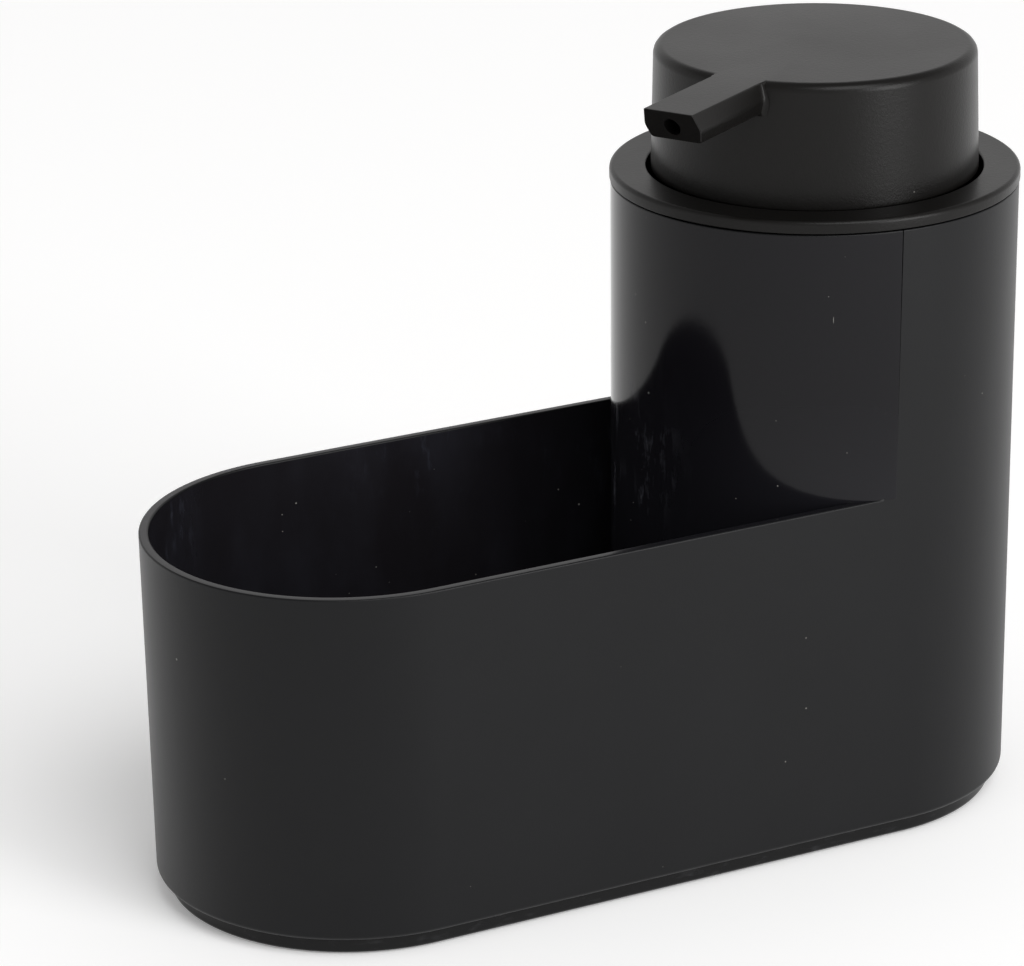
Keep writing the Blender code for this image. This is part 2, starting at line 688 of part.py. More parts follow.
def head_cap(parent, material):
    """The button: a turned shell with a boss for the core, the spout joined on and bored."""
    boss_inner = CORE_RADIUS + RUN_GAP
    boss_outer = boss_inner + HEAD_BOSS_WALL
    boss_bottom = HEAD_CEILING - HEAD_BOSS_HEIGHT
    profile = [(0.0, HEAD_TOP)]
    profile += quarter(HEAD_RADIUS - HEAD_ROUND, HEAD_TOP - HEAD_ROUND, HEAD_ROUND, math.pi / 2)
    profile += [
        (HEAD_FOOT_RADIUS, HEAD_BOTTOM + HEAD_LOWER_EDGE),
        (HEAD_FOOT_RADIUS - HEAD_LOWER_EDGE, HEAD_BOTTOM),
        (HEAD_FOOT_RADIUS - HEAD_WALL, HEAD_BOTTOM),
        (HEAD_RADIUS - HEAD_WALL, HEAD_CEILING),
        (boss_outer, HEAD_CEILING),
        (boss_outer, boss_bottom),
        (boss_inner, boss_bottom),
        (boss_inner, HEAD_CEILING),
        (0.0, HEAD_CEILING),
    ]
    cap = turned("head_cap", profile, parent, material, WIDE_STEPS)
    join(cap, spout_bar(parent))

    bore_start = -(HEAD_RADIUS - HEAD_ROUND - HEAD_TOP_WALL) + OVERRUN
    bore_end = -SPOUT_REACH - OVERRUN
    cut(cap, rod_along_x("spout_bore", SPOUT_BORE, bore_start, bore_end, SPOUT_AXIS, parent))

    notch = NOZZLE_RADIUS + RUN_GAP
    low = (-boss_outer - OVERRUN, -notch, boss_bottom - OVERRUN)
    high = (0.0, notch, SPOUT_AXIS + notch)
    cut(cap, box("boss_notch", low, high, parent))
    return cap


def actuator_core(parent, material):
    """Socket for the stem below, a channel up and a nozzle tube into the spout's bore."""
    top = HEAD_CEILING - SEAT_GAP
    foot = CORE_RADIUS + CORE_FOOT_REACH
    profile = [
        (0.0, top),
        (CORE_RADIUS, top),
        (CORE_RADIUS, CORE_BOTTOM + CORE_FOOT_HEIGHT),
        (foot, CORE_BOTTOM + CORE_FOOT_HEIGHT),
        (foot, CORE_BOTTOM),
        (GUIDE_BORE, CORE_BOTTOM),
        (GUIDE_BORE, SOCKET_TOP),
        (VALVE_HOLE, SOCKET_TOP),
        (VALVE_HOLE, SPOUT_AXIS),
        (0.0, SPOUT_AXIS),
    ]
    core = turned("actuator_core", profile, parent, material)
    tube_end = -HEAD_RADIUS - NOZZLE_IN_SPOUT
    inside = -(CORE_RADIUS + VALVE_HOLE) / 2
    join(core, rod_along_x("nozzle_tube", NOZZLE_RADIUS, inside, tube_end, SPOUT_AXIS, parent))
    bore_end = tube_end - OVERRUN
    bore = NOZZLE_RADIUS - NOZZLE_WALL
    cut(core, rod_along_x("nozzle_bore", bore, 0.0, bore_end, SPOUT_AXIS, parent))
    return core


def ring(name, inner, outer, low, high, parent, material):
    """A plain flat or long ring."""
    profile = [(inner, high), (outer, high), (outer, low), (inner, low)]
    return turned(name, profile, parent, material)


def pump_cylinder(parent, material):
    """Flange, bore, conical seat of the inlet valve and socket of the dip tube."""
    dip_bore = DIP_RADIUS + RUN_GAP
    dip_outer = dip_bore + DIP_SOCKET_WALL
    profile = [
        (CYLINDER_BORE, FLANGE_TOP),
        (FLANGE_RADIUS, FLANGE_TOP),
        (FLANGE_RADIUS, FLANGE_BOTTOM),
        (CYLINDER_RADIUS, FLANGE_BOTTOM),
        (CYLINDER_RADIUS, INLET_SEAT),
        (dip_outer, INLET_SEAT - SEAT_WALL),
        (dip_outer, DIP_SOCKET_BOTTOM),
        (dip_bore, DIP_SOCKET_BOTTOM),
        (dip_bore, DIP_TOP + SEAT_GAP),
        (VALVE_HOLE, DIP_TOP + SEAT_GAP),
        (VALVE_HOLE, INLET_SEAT),
        (VALVE_HOLE + SEAT_WALL, BORE_FLOOR),
        (CYLINDER_BORE, BORE_FLOOR),
    ]
    return turned("pump_cylinder", profile, parent, material)


def stem_guide(parent, material):
    """Bush that snaps into the cylinder's mouth and holds the stem upright."""
    plug = CYLINDER_BORE - SEAT_GAP
    flange = CYLINDER_RADIUS + GUIDE_FLANGE_REACH
    profile = [
        (GUIDE_BORE, GUIDE_TOP),
        (GUIDE_NECK_RADIUS, GUIDE_TOP),
        (GUIDE_NECK_RADIUS, GUIDE_FLANGE_TOP),
        (flange, GUIDE_FLANGE_TOP),
        (flange, GUIDE_BOTTOM),
        (plug, GUIDE_BOTTOM),
        (plug, GUIDE_PLUG_BOTTOM),
        (GUIDE_BORE, GUIDE_PLUG_BOTTOM),
    ]
    return turned("stem_guide", profile, parent, material)


def closure_nut(parent, material):
    """Ribbed cap that clamps the pump on the collar's neck."""
    inner = NECK_RADIUS + RUN_GAP
    outer = inner + NUT_WALL
    ceiling = GUIDE_FLANGE_TOP + SEAT_GAP
    top = ceiling + NUT_TOP
    bottom = WELL_FLOOR + NUT_LIFT

    def ribbed(shrink, height):
        points = []
        for index in range(NUT_STEPS * NUT_RIBS):
            angle = math.tau * index / (NUT_STEPS * NUT_RIBS)
            on_rib = index % NUT_STEPS < NUT_STEPS // 2
            radius = outer - shrink + (NUT_RIB if on_rib else 0.0)
            points.append((radius * math.cos(angle), radius * math.sin(angle), height))
        return points

    bm = bmesh.new()
    loft(bm, [ribbed(0.0, bottom), ribbed(0.0, top - NUT_EDGE), ribbed(NUT_EDGE, top)])
    nut = solid("closure_nut", bm, parent, material)
    hole = GUIDE_NECK_RADIUS + RUN_GAP
    profile = [
        (0.0, top + OVERRUN),
        (hole, top + OVERRUN),
        (hole, ceiling),
        (inner, ceiling),
        (inner, bottom - OVERRUN),
        (0.0, bottom - OVERRUN),
    ]
    cut(nut, turned("nut_bore", profile, parent, steps=2 * NARROW_STEPS))
    return nut


def pump_stem(parent, material):
    """Hollow stem: valve chamber in its top, a stop under the guide and a spigot for the piston."""
    stop = CYLINDER_BORE - STEM_STOP_CLEARANCE
    foot = FOLLOWER_BOTTOM + SEAT_GAP
    profile = [
        (VALVE_CHAMBER, STEM_TOP),
        (STEM_RADIUS, STEM_TOP),
        (STEM_RADIUS, STOP_TOP),
        (stop, STOP_TOP),
        (stop, STOP_BOTTOM),
        (SPIGOT_RADIUS, STOP_BOTTOM),
        (SPIGOT_RADIUS, foot),
        (VALVE_HOLE, foot),
        (VALVE_HOLE, OUTLET_SEAT),
        (VALVE_CHAMBER, OUTLET_SEAT + VALVE_CHAMBER - VALVE_HOLE),
    ]
    return turned("pump_stem", profile, parent, material)


def piston(parent, material):
    """Two lips and a waist, pushed on the stem's spigot."""
    waist = PISTON_BORE + PISTON_WALL
    lip = CYLINDER_BORE - RUN_GAP
    profile = [
        (PISTON_BORE, PISTON_TOP),
        (lip, PISTON_TOP),
        (lip, PISTON_TOP - PISTON_LIP / 2),
        (waist, PISTON_TOP - PISTON_LIP),
        (waist, PISTON_BOTTOM + PISTON_LIP),
        (lip, PISTON_BOTTOM + PISTON_LIP / 2),
        (lip, PISTON_BOTTOM),
        (PISTON_BORE, PISTON_BOTTOM),
    ]
    return turned("piston", profile, parent, material)


def spring_follower(parent, material):
    """Flanged sleeve under the piston, which the spring pushes on."""
    flange = CYLINDER_BORE - FOLLOWER_CLEARANCE
    sleeve = PISTON_BORE + FOLLOWER_WALL
    profile = [
        (PISTON_BORE, FOLLOWER_TOP),
        (flange, FOLLOWER_TOP),
        (flange, FOLLOWER_SHOULDER),
        (sleeve, FOLLOWER_SHOULDER),
        (sleeve, FOLLOWER_BOTTOM),
        (PISTON_BORE, FOLLOWER_BOTTOM),
    ]
    return turned("spring_follower", profile, parent, material)


def return_spring(parent, material):
    """One wire wound as a helix. Its least gap to itself is measured and printed."""
    count = round(SPRING_TURNS * SPRING_STEPS) + 1
    t = np.linspace(0.0, 1.0, count)
    angle = math.tau * SPRING_TURNS * t
    radius = CYLINDER_BORE - SPRING_CLEARANCE - SPRING_WIRE_RADIUS
    low = SPRING_BOTTOM + SPRING_WIRE_RADIUS
    rise = SPRING_LENGTH - 2 * SPRING_WIRE_RADIUS
    wire = np.stack([radius * np.cos(angle), radius * np.sin(angle), low + rise * t], axis=1)
    apart = np.linalg.norm(wire[:, None] - wire[None, :], axis=2)
    steps_apart = np.abs(np.subtract.outer(np.arange(count), np.arange(count)))
    gap = apart[steps_apart > SPRING_STEPS // 2].min() - 2 * SPRING_WIRE_RADIUS
    print(f"return_spring: least gap to itself {gap:.5f} m")

    curve = bpy.data.curves.new("return_spring", "CURVE")
    curve.dimensions = "3D"
    curve.bevel_depth = SPRING_WIRE_RADIUS
    curve.bevel_resolution = 1
    curve.use_fill_caps = True
    spline = curve.splines.new("POLY")
    spline.points.add(count - 1)
    for point, place in zip(spline.points, wire):
        point.co = (*place, 1.0)
    curve.materials.append(material)
    obj = bpy.data.objects.new("return_spring", curve)
    bpy.context.collection.objects.link(obj)
    obj.parent = parent
    return obj


def ball(name, height, parent, material):
    bm = bmesh.new()
    bmesh.ops.create_uvsphere(
        bm, u_segments=BALL_STEPS, v_segments=BALL_STEPS // 2, radius=BALL_RADIUS
    )
    bmesh.ops.translate(bm, verts=bm.verts, vec=(0.0, 0.0, height))
    return solid(name, bm, parent, material)


def ball_cage(parent, material):
    """Ring under the spring with crossed bars that hold the inlet ball near its seat."""
    outer = CYLINDER_BORE - SEAT_GAP
    inner = outer - CAGE_WALL
    cage = ring("ball_cage", inner, outer, CAGE_BOTTOM, CAGE_TOP, parent, material)
    half = CAGE_BAR / 2
    reach = (inner + outer) / 2
    low = (-reach, -half, CAGE_BAR_TOP - CAGE_BAR)
    join(cage, box("cage_bar_x", low, (reach, half, CAGE_BAR_TOP), parent))
    low = (-half, -reach, CAGE_BAR_TOP - CAGE_BAR + RIB_SETBACK)
    high = (half, reach, CAGE_BAR_TOP - RIB_SETBACK / 2)
    join(cage, box("cage_bar_y", low, high, parent))
    return cage


def build():
    clear_scene()
    satin_black = plastic("satin_black", (0.030, 0.031, 0.033), 0.38)
    gloss_black = plastic("gloss_black", (0.018, 0.018, 0.020), 0.12)
    matte_black = plastic("matte_black", (0.040, 0.039, 0.038), 0.48)
    rubber = plastic("black_rubber", (0.020, 0.020, 0.020), 0.85)
    natural = plastic("natural_plastic", (0.72, 0.73, 0.71), 0.40)
    clear_seal = plastic("soft_white_plastic", (0.80, 0.80, 0.77), 0.55)
    steel = plastic("spring_steel", (0.62, 0.62, 0.60), 0.25, 1.0)
    valve_steel = plastic("valve_steel", (0.70, 0.70, 0.70), 0.12, 1.0)

    caddy = pivot("tower_axis", TOWER_X)
    housing(caddy, satin_black)
    base_plate(caddy, gloss_black)
    foot_pads(caddy, rubber)

    pump = pivot("pump_axis", 0.0, parent=caddy)
    collar(pump, matte_black)
    collar_seal(pump, rubber)
    ring("pump_gasket", NECK_HOLE, FLANGE_RADIUS, GASKET_BOTTOM, GASKET_TOP, pump, clear_seal)
    pump_cylinder(pump, natural)
    stem_guide(pump, natural)
    closure_nut(pump, matte_black)
    ball_cage(pump, natural)
    dip_bore = DIP_RADIUS - DIP_WALL
    ring("dip_tube", dip_bore, DIP_RADIUS, DIP_BOTTOM, DIP_TOP, pump, clear_seal)
    return_spring(pump, steel)
    ball("inlet_ball", INLET_BALL, pump, valve_steel)

    plunger = pivot("plunger_axis", 0.0, parent=pump)
    pump_stem(plunger, natural)
    piston(plunger, clear_seal)
    spring_follower(plunger, natural)
    ball("outlet_ball", OUTLET_BALL, plunger, valve_steel)

    head = pivot("head_axis", 0.0, SPOUT_TURN, plunger)
    head_cap(head, matte_black)
    actuator_core(head, natural)


build()
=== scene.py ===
import math

import bmesh
import bpy
import numpy as np
from mathutils import Matrix, Vector


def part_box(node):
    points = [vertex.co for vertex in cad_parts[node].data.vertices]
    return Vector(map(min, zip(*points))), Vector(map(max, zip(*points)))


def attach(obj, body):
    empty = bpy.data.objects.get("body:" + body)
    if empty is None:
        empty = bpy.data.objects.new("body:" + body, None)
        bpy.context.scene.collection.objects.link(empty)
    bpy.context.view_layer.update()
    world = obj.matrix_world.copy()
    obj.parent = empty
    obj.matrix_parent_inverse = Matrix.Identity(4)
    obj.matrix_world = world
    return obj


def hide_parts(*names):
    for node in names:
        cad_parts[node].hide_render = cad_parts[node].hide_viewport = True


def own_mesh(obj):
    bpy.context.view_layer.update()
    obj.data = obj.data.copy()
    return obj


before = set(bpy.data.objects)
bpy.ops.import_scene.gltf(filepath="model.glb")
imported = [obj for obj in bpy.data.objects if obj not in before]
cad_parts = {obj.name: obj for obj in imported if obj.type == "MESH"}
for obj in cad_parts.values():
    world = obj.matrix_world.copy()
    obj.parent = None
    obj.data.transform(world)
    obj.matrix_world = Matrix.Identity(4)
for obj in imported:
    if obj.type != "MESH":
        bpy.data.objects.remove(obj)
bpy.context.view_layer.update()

# Sizes in metres, the same as the part's own, about the tower's axis.
SPACING = 0.1091
HOUSING_R = 0.0419
RIM_Z = 0.0775
TOWER_Z = 0.1344
DRAFT = 0.008
TRAY_WALL = 0.0020
TRAY_FLOOR = 0.0090
TRAY_FILLET = 0.0025
FLOOR_THICK = 0.0024
LOWER_EDGE = 0.0041
LOWER_ROUND = 0.0012
SEAM_TOP = 0.0042
SEAM_RIM = 0.0050
FRONT_MEETS_WALL = 0.0080
SEAM_HALF = 0.00007
SEAM_DEPTH = 0.00012
FOOT_INSET = 0.0025
RIM_ROUND = 0.00035
GAP = 0.0003
BALL_R = 0.0020

# Camera of the photograph, solved from its outlines.
CAM_AZ, CAM_EL, CAM_ROLL = -26.785, 20.449, -0.968
CAM_DISTANCE, CAM_LENS = 0.9356, 160.3
CAM_TARGET = (-0.01725, 0.0, 0.079265)

# Studio: strengths of the world at the horizon and overhead, and of the floor's colour and lift.
WORLD_HORIZON, WORLD_ZENITH = 0.80, 0.35
FLOOR_COLOUR, FLOOR_LIFT = 0.97, 0.155
DUST = (0.42, 0.41, 0.38)


def tower_axis():
    low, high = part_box("collar")
    return (low.x + high.x) / 2


TX = tower_axis()
FOOT_PADS = (
    "foot_pad_front_left",
    "foot_pad_rear_left",
    "foot_pad_front_right",
    "foot_pad_rear_right",
)


def make(name, verts, faces, smooth_angle=35.0):
    """A mesh object in the row frame from points about the tower's axis."""
    points = np.asarray(verts, float) + np.array((TX, 0.0, 0.0))
    mesh = bpy.data.meshes.new(name)
    mesh.from_pydata(points.tolist(), [], [list(f) for f in faces])
    bm = bmesh.new()
    bm.from_mesh(mesh)
    bmesh.ops.remove_doubles(bm, verts=bm.verts, dist=1e-6)
    bmesh.ops.recalc_face_normals(bm, faces=bm.faces)
    bm.to_mesh(mesh)
    bm.free()
    return finish_mesh(name, mesh, smooth_angle)


def finish_mesh(name, mesh, smooth_angle):
    mesh.shade_smooth()
    mesh.set_sharp_from_angle(angle=math.radians(smooth_angle))
    obj = bpy.data.objects.new(name, mesh)
    bpy.context.scene.collection.objects.link(obj)
    return obj


def weighted(obj):
    modifier = obj.modifiers.new("flat faces stay flat", "WEIGHTED_NORMAL")
    modifier.keep_sharp = True
    modifier.weight = 50
    return obj


def rounded(points, radius, steps=4):
    """The closed profile with rounded corners. A point may carry its own radius as a third value."""
    count = len(points)
    flat = [np.array(p[:2], float) for p in points]
    out = []
    for i, point in enumerate(points):
        here = flat[i]
        want = point[2] if len(point) > 2 else radius
        before, after = flat[i - 1] - here, flat[(i + 1) % count] - here
        lb, la = np.linalg.norm(before), np.linalg.norm(after)
        if want <= 0 or here[0] < 1e-9 or lb < 1e-9 or la < 1e-9:
            out.append(here)
            continue
        before, after = before / lb, after / la
        angle = math.acos(float(np.clip(before @ after, -1, 1)))
        if angle > math.radians(170):
            out.append(here)
            continue
        setback = min(want / math.tan(angle / 2), 0.45 * lb, 0.45 * la)
        r = setback * math.tan(angle / 2)
        bisector = (before + after) / np.linalg.norm(before + after)
        centre = here + bisector * (r / math.sin(angle / 2))
        start = here + before * setback - centre
        end = here + after * setback - centre
        sweep = math.acos(float(np.clip((start @ end) / (r * r), -1, 1)))
        sign = 1 if start[0] * end[1] - start[1] * end[0] > 0 else -1
        for k in range(steps + 1):
            a = sign * sweep * k / steps
            c, s = math.cos(a), math.sin(a)
            out.append(centre + np.array([start[0] * c - start[1] * s, start[0] * s + start[1] * c]))
    return [tuple(p) for p in out]


def turned(name, profile, steps, radius):
    """A closed profile of (radius, height) points spun about the tower's axis."""
    outline = rounded(profile, radius)
    angles = np.linspace(0.0, math.tau, steps, endpoint=False)
    verts, index = [], []
    for r, z in outline:
        if r < 1e-9:
            index.append([len(verts)] * steps)
            verts.append((0.0, 0.0, z))
        else:
            index.append(list(range(len(verts), len(verts) + steps)))
            verts += [(r * math.cos(a), r * math.sin(a), z) for a in angles]
    faces = []
    for low, high in zip(index, index[1:] + index[:1]):
        if low[0] == low[1] and high[0] == high[1]:
            continue
        for i in range(steps):
            j = (i + 1) % steps
            quad = [low[i], low[j], high[j], high[i]]
            quad = [v for k, v in enumerate(quad) if v not in quad[:k]]
            faces.append(quad)
    return weighted(make(name, verts, faces))


class Patch:
    """Collects rows of points and flat panels into one mesh."""

    def __init__(self):
        self.verts, self.faces = [], []

    def row(self, points):
        start = len(self.verts)
        self.verts += [tuple(p) for p in points]
        return list(range(start, start + len(points)))

    def sheet(self, rows, closed=False):
        index = [self.row(r) for r in rows]
        for low, high in zip(index, index[1:]):
            count = len(low)
            for i in range(count if closed else count - 1):
                j = (i + 1) % count
                self.faces.append((low[i], low[j], high[j], high[i]))

    def panel(self, points):
        self.faces.append(tuple(self.row(points)))


def arc(radius, start, end, steps, height, centre_x=0.0):
    return [
        (centre_x + radius * math.cos(a), radius * math.sin(a), height)
        for a in np.linspace(start, end, steps + 1)
    ]


def stadium(radius, height, half):
    right = arc(radius, -math.pi / 2, math.pi / 2, half, height)
    left = arc(radius, math.pi / 2, 1.5 * math.pi, half, height, -SPACING)
    return right + left


def outer_radius(z):
    return HOUSING_R + DRAFT * (z - RIM_Z)


def apply_all(obj):
    """Replaces the object's mesh with what its modifiers make of it."""
    graph = bpy.context.evaluated_depsgraph_get()
    mesh = bpy.data.meshes.new_from_object(obj.evaluated_get(graph))
    obj.modifiers.clear()
    obj.data = mesh
    return obj


def boolean(obj, tool, operation):
    modifier = obj.modifiers.new(operation.lower(), "BOOLEAN")
    modifier.operation = operation
    modifier.solver = "EXACT"
    modifier.object = tool
    apply_all(obj)
    bpy.data.objects.remove(tool, do_unlink=True)
    return obj


def seam_at(share):
    """How far before the axis the tower's seam lies, by share of the height from the rim to the top."""
    return SEAM_RIM + (SEAM_TOP - SEAM_RIM) * share


def tower_ring(radius, front_radius, share, half, angles):
    """The tower's outline: outer half, groove, tray-facing half and groove.

    At share 0, the rim, the outer half ends in the housing's straight sides.
    """
    seam = seam_at(share)
    meeting, cusp = angles
    flat = [-seam * k / 4 for k in range(4, 0, -1)]
    across = [radius + (math.sqrt(radius**2 - x**2) - radius) * share for x in flat]
    near = [(x, -y) for x, y in zip(flat, across)]
    turn = np.linspace(-math.pi / 2, math.pi / 2, half + 1)
    outer = near + [(radius * math.cos(a), radius * math.sin(a)) for a in turn]
    outer += [(x, -y) for x, y in reversed(near)]
    edge = 0.00022
    start = seam + 2 * SEAM_HALF
    front = []
    for ahead, down in ((0.0, edge), (0.3 * edge, 0.3 * edge), (edge, 0.0)):
        r = front_radius - down
        front.append((-start - ahead, math.sqrt(r**2 - (start + ahead) ** 2)))
    first = math.pi / 2 + math.asin((start + edge) / front_radius)
    turn = list(np.linspace(first, meeting, 4)[1:]) + list(np.linspace(meeting, cusp, 5)[1:-1])
    side = front + [(front_radius * math.cos(a), front_radius * math.sin(a)) for a in turn]
    turn = np.linspace(cusp, math.tau - cusp, half + 1)
    middle = [(front_radius * math.cos(a), front_radius * math.sin(a)) for a in turn]
    facing = side + middle + [(x, -y) for x, y in reversed(side)]
    depth = SEAM_DEPTH if share > 0.0 else (outer[-1][1] - front[0][1]) / 2
    bottom = min(outer[-1][1], front[0][1]) - depth
    groove = (-seam - SEAM_HALF, bottom)
    return outer + [groove] + facing + [(groove[0], -groove[1])], len(outer), len(side)


def housing():
    half = 96
    rounds = np.linspace(0.0, math.pi / 2, 7)
    front_rim = math.hypot(HOUSING_R, FRONT_MEETS_WALL)
    patch = Patch()

    def wall_row(z, inset):
        radius = outer_radius(z) - inset
        row = stadium(radius, z, half)
        steps = [-SEAM_RIM * k / 4 for k in range(1, 5)] + [-FRONT_MEETS_WALL]
        rear = [(x, radius, z) for x in steps]
        near = [(x, -radius, z) for x in reversed(steps)]
        return row[: half + 1] + rear + row[half + 1 :] + near

    recess = FOOT_INSET - GAP
    ledge = [wall_row(TRAY_FLOOR - FLOOR_THICK, recess), wall_row(LOWER_EDGE, recess)]
    lower = [
        wall_row(LOWER_EDGE + LOWER_ROUND * (1 - math.cos(a)), LOWER_ROUND * (1 - math.sin(a)))
        for a in rounds
    ]
    patch.panel(ledge[0])
    patch.sheet(ledge + lower + [wall_row(RIM_Z, 0.0)], closed=True)

    def tray_rows(z, inset):
        depth = RIM_Z - z
        wall_r = HOUSING_R - TRAY_WALL - DRAFT * depth - inset
        tower_r = front_rim + DRAFT * depth + inset
        cusp = math.pi - math.asin(wall_r / tower_r)
        cusp_x = tower_r * math.cos(cusp)
        end = arc(wall_r, math.pi / 2, 1.5 * math.pi, half, z, -SPACING)
        wall = [(cusp_x, wall_r, z)] + end + [(cusp_x, -wall_r, z)]
        return wall, arc(tower_r, math.tau - cusp, cusp, half, z)

    edge = 0.0003
    crown = TOWER_Z - edge
    crown_r = outer_radius(crown)
    meeting = math.pi - math.asin(HOUSING_R / front_rim)
    cusp = math.pi - math.asin((HOUSING_R - TRAY_WALL) / front_rim)
    rows = []
    for share in (0.0, 0.009, 0.15, 0.35, 0.55, 0.75, 0.9, 1.0):
        radius = HOUSING_R + (crown_r - HOUSING_R) * share
        front = front_rim + (crown_r - front_rim) * share
        ring, outer_count, side_count = tower_ring(radius, front, share, half, (meeting, cusp))
        rows.append([(x, y, RIM_Z + (crown - RIM_Z) * share) for x, y in ring])
    for a in rounds[1:]:
        inset = 1 - edge * (1 - math.cos(a)) / crown_r
        rows.append([(x * inset, y * inset, crown + edge * math.sin(a)) for x, y, _ in rows[7]])
    patch.sheet(rows, closed=True)

    # At the rim: the underside of the step at each seam, then the flat rim on each side and at the end.
    base = rows[0]
    rear = base[outer_count - 1 : outer_count + 7]
    near = base[-7:] + base[:1]
    patch.panel(rear)
    patch.panel(near)
    top = rows[-1]

    turns = [math.atan2(y, x) for x, y, _ in top]

    def bore_ring(radius, z):
        return [(radius * math.cos(t), radius * math.sin(t), z) for t in turns]

    bore, bore_draft, mouth = 0.040155, 0.007, 0.0003
    parallel = TOWER_Z - 0.0120
    floor_r = bore - bore_draft * (parallel - TRAY_FLOOR)
    rings = [top, bore_ring(bore + mouth, TOWER_Z)]
    rings += [
        bore_ring(bore + mouth * (1 - math.sin(a)), TOWER_Z - mouth * (1 - math.cos(a)))
        for a in rounds[1:]
    ]
    rings.append(bore_ring(bore, parallel))
    fillet = 0.0020
    rings += [
        bore_ring(floor_r - fillet * (1 - math.cos(a)), TRAY_FLOOR + fillet * (1 - math.sin(a)))
        for a in rounds
    ]
    patch.sheet(rings, closed=True)
    patch.panel(rings[-1])

    wall, _ = tray_rows(RIM_Z, 0.0)
    rim = arc(HOUSING_R, math.pi / 2, 1.5 * math.pi, half, RIM_Z, -SPACING)
    patch.sheet([rim, wall[1:-1]])
    first = outer_count + 1 + side_count
    patch.panel(base[first - 4 : first + 1] + [wall[1], rim[0]])
    last = len(base) - 1 - side_count
    patch.panel(base[last - 1 : last + 4] + [rim[-1], wall[-2]])
    levels = [(RIM_Z, 0.0)]
    levels += [
        (TRAY_FLOOR + TRAY_FILLET * (1 - math.sin(a)), TRAY_FILLET * (1 - math.cos(a))) for a in rounds
    ]
    pairs = [tray_rows(z, inset) for z, inset in levels]
    patch.sheet([p[0] for p in pairs])
    patch.sheet([p[1] for p in pairs])
    floor_wall, floor_front = pairs[-1]
    patch.panel(floor_wall + floor_front[1:-1])

    obj = make("Caddy_Housing", patch.verts, patch.faces, 30.0)
    mesh = obj.data
    bm = bmesh.new()
    bm.from_mesh(mesh)
    # Finishes: 0 satin outside, 1 gloss on the tray side of the tower, 2 tray inside, 3 bore.
    bore_reach, front_reach, tray_reach, foot_reach = 0.0406, 0.0412, 0.0415, 0.0440
    above_floor, inside_wall = TRAY_FLOOR - 0.0002, HOUSING_R - 0.0012
    for face in bm.faces:
        c = face.calc_center_median() - Vector((TX, 0.0, 0.0))
        r = math.hypot(c.x, c.y)
        in_bore = r < bore_reach
        share = (c.z - RIM_Z) / (crown - RIM_Z)
        if c.z > above_floor and in_bore:
            face.material_index = 3 if c.z < TOWER_Z - 0.0004 else 0
        elif 0.0 <= share < 1.0 and c.x < -seam_at(share) - SEAM_HALF:
            faces_tray = r > front_reach and (share > 0.0 or c.x > -FRONT_MEETS_WALL)
            face.material_index = 1 if faces_tray else 0
        elif above_floor < c.z < RIM_Z - 1e-5 and c.x < -SEAM_RIM:
            within = max(abs(c.y), math.hypot(min(c.x + SPACING, 0.0), c.y))
            face.material_index = 0
            if within < inside_wall and r > tray_reach:
                face.material_index = 1 if r < foot_reach else 2
    # Rounded edges of the rim, outside and inside, away from the tower.
    rounded_to = -0.0200
    picked = []
    for e in bm.edges:
        a, b = (v.co - Vector((TX, 0.0, 0.0)) for v in e.verts)
        if max(abs(a.z - RIM_Z), abs(b.z - RIM_Z)) > 1e-6:
            continue
        if len(e.link_faces) != 2 or e.calc_face_angle() < math.radians(60):
            continue
        if (a.x + b.x) / 2 > rounded_to:
            continue
        picked.append(e)
    bmesh.ops.bevel(
        bm, geom=picked, offset=RIM_ROUND, segments=3, profile=0.5, affect="EDGES", clamp_overlap=False
    )
    bmesh.ops.recalc_face_normals(bm, faces=bm.faces)
    bm.to_mesh(mesh)
    bm.free()
    mesh.shade_smooth()
    mesh.set_sharp_from_angle(angle=math.radians(40))
    return weighted(obj)


def base_plate():
    half = 96
    radius = outer_radius(LOWER_EDGE) - FOOT_INSET
    bottom, top, web = 0.0003, 0.0063, 0.0030
    rounds = np.linspace(0.0, math.pi / 2, 7)
    patch = Patch()
    edge = 0.0009
    inner = radius - 0.0020
    rows = [stadium(inner, web, half), stadium(inner, top, half), stadium(radius, top, half)]
    rows += [
        stadium(radius - edge * (1 - math.cos(a)), bottom + edge * (1 - math.sin(a)), half) for a in rounds
    ]
    patch.panel(rows[0])
    patch.sheet(rows, closed=True)
    patch.panel(rows[-1])
    plate = make("Base_Plate", patch.verts, patch.faces, 30.0)
    for x, y in pad_places():
        profile = [(0.0, 0.0018), (0.0063, 0.0018), (0.0063, -0.001), (0.0, -0.001)]
        tool = turned("pad_recess", profile, 48, 0.0)
        tool.modifiers.clear()
        tool.location = (x, y, 0.0)
        boolean(plate, tool, "DIFFERENCE")
    return weighted(tidy(plate, 30.0))


def pad_places():
    """Each pad's middle, from the tower's axis, where the part has it."""
    places = []
    for node in FOOT_PADS:
        low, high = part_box(node)
        places.append(((low.x + high.x) / 2 - TX, (low.y + high.y) / 2))
    return places


def tidy(obj, smooth_angle):
    obj.data.shade_smooth()
    obj.data.set_sharp_from_angle(angle=math.radians(smooth_angle))
    return obj


def foot_pad(name, x, y):
    profile = [(0.0, 0.0015), (0.0060, 0.0015), (0.0060, 0.0, 0.0004), (0.0, 0.0)]
    pad = turned(name, profile, 64, 0.0001)
    pad.data.transform(Matrix.Translation((x, y, 0.0)))
    return pad


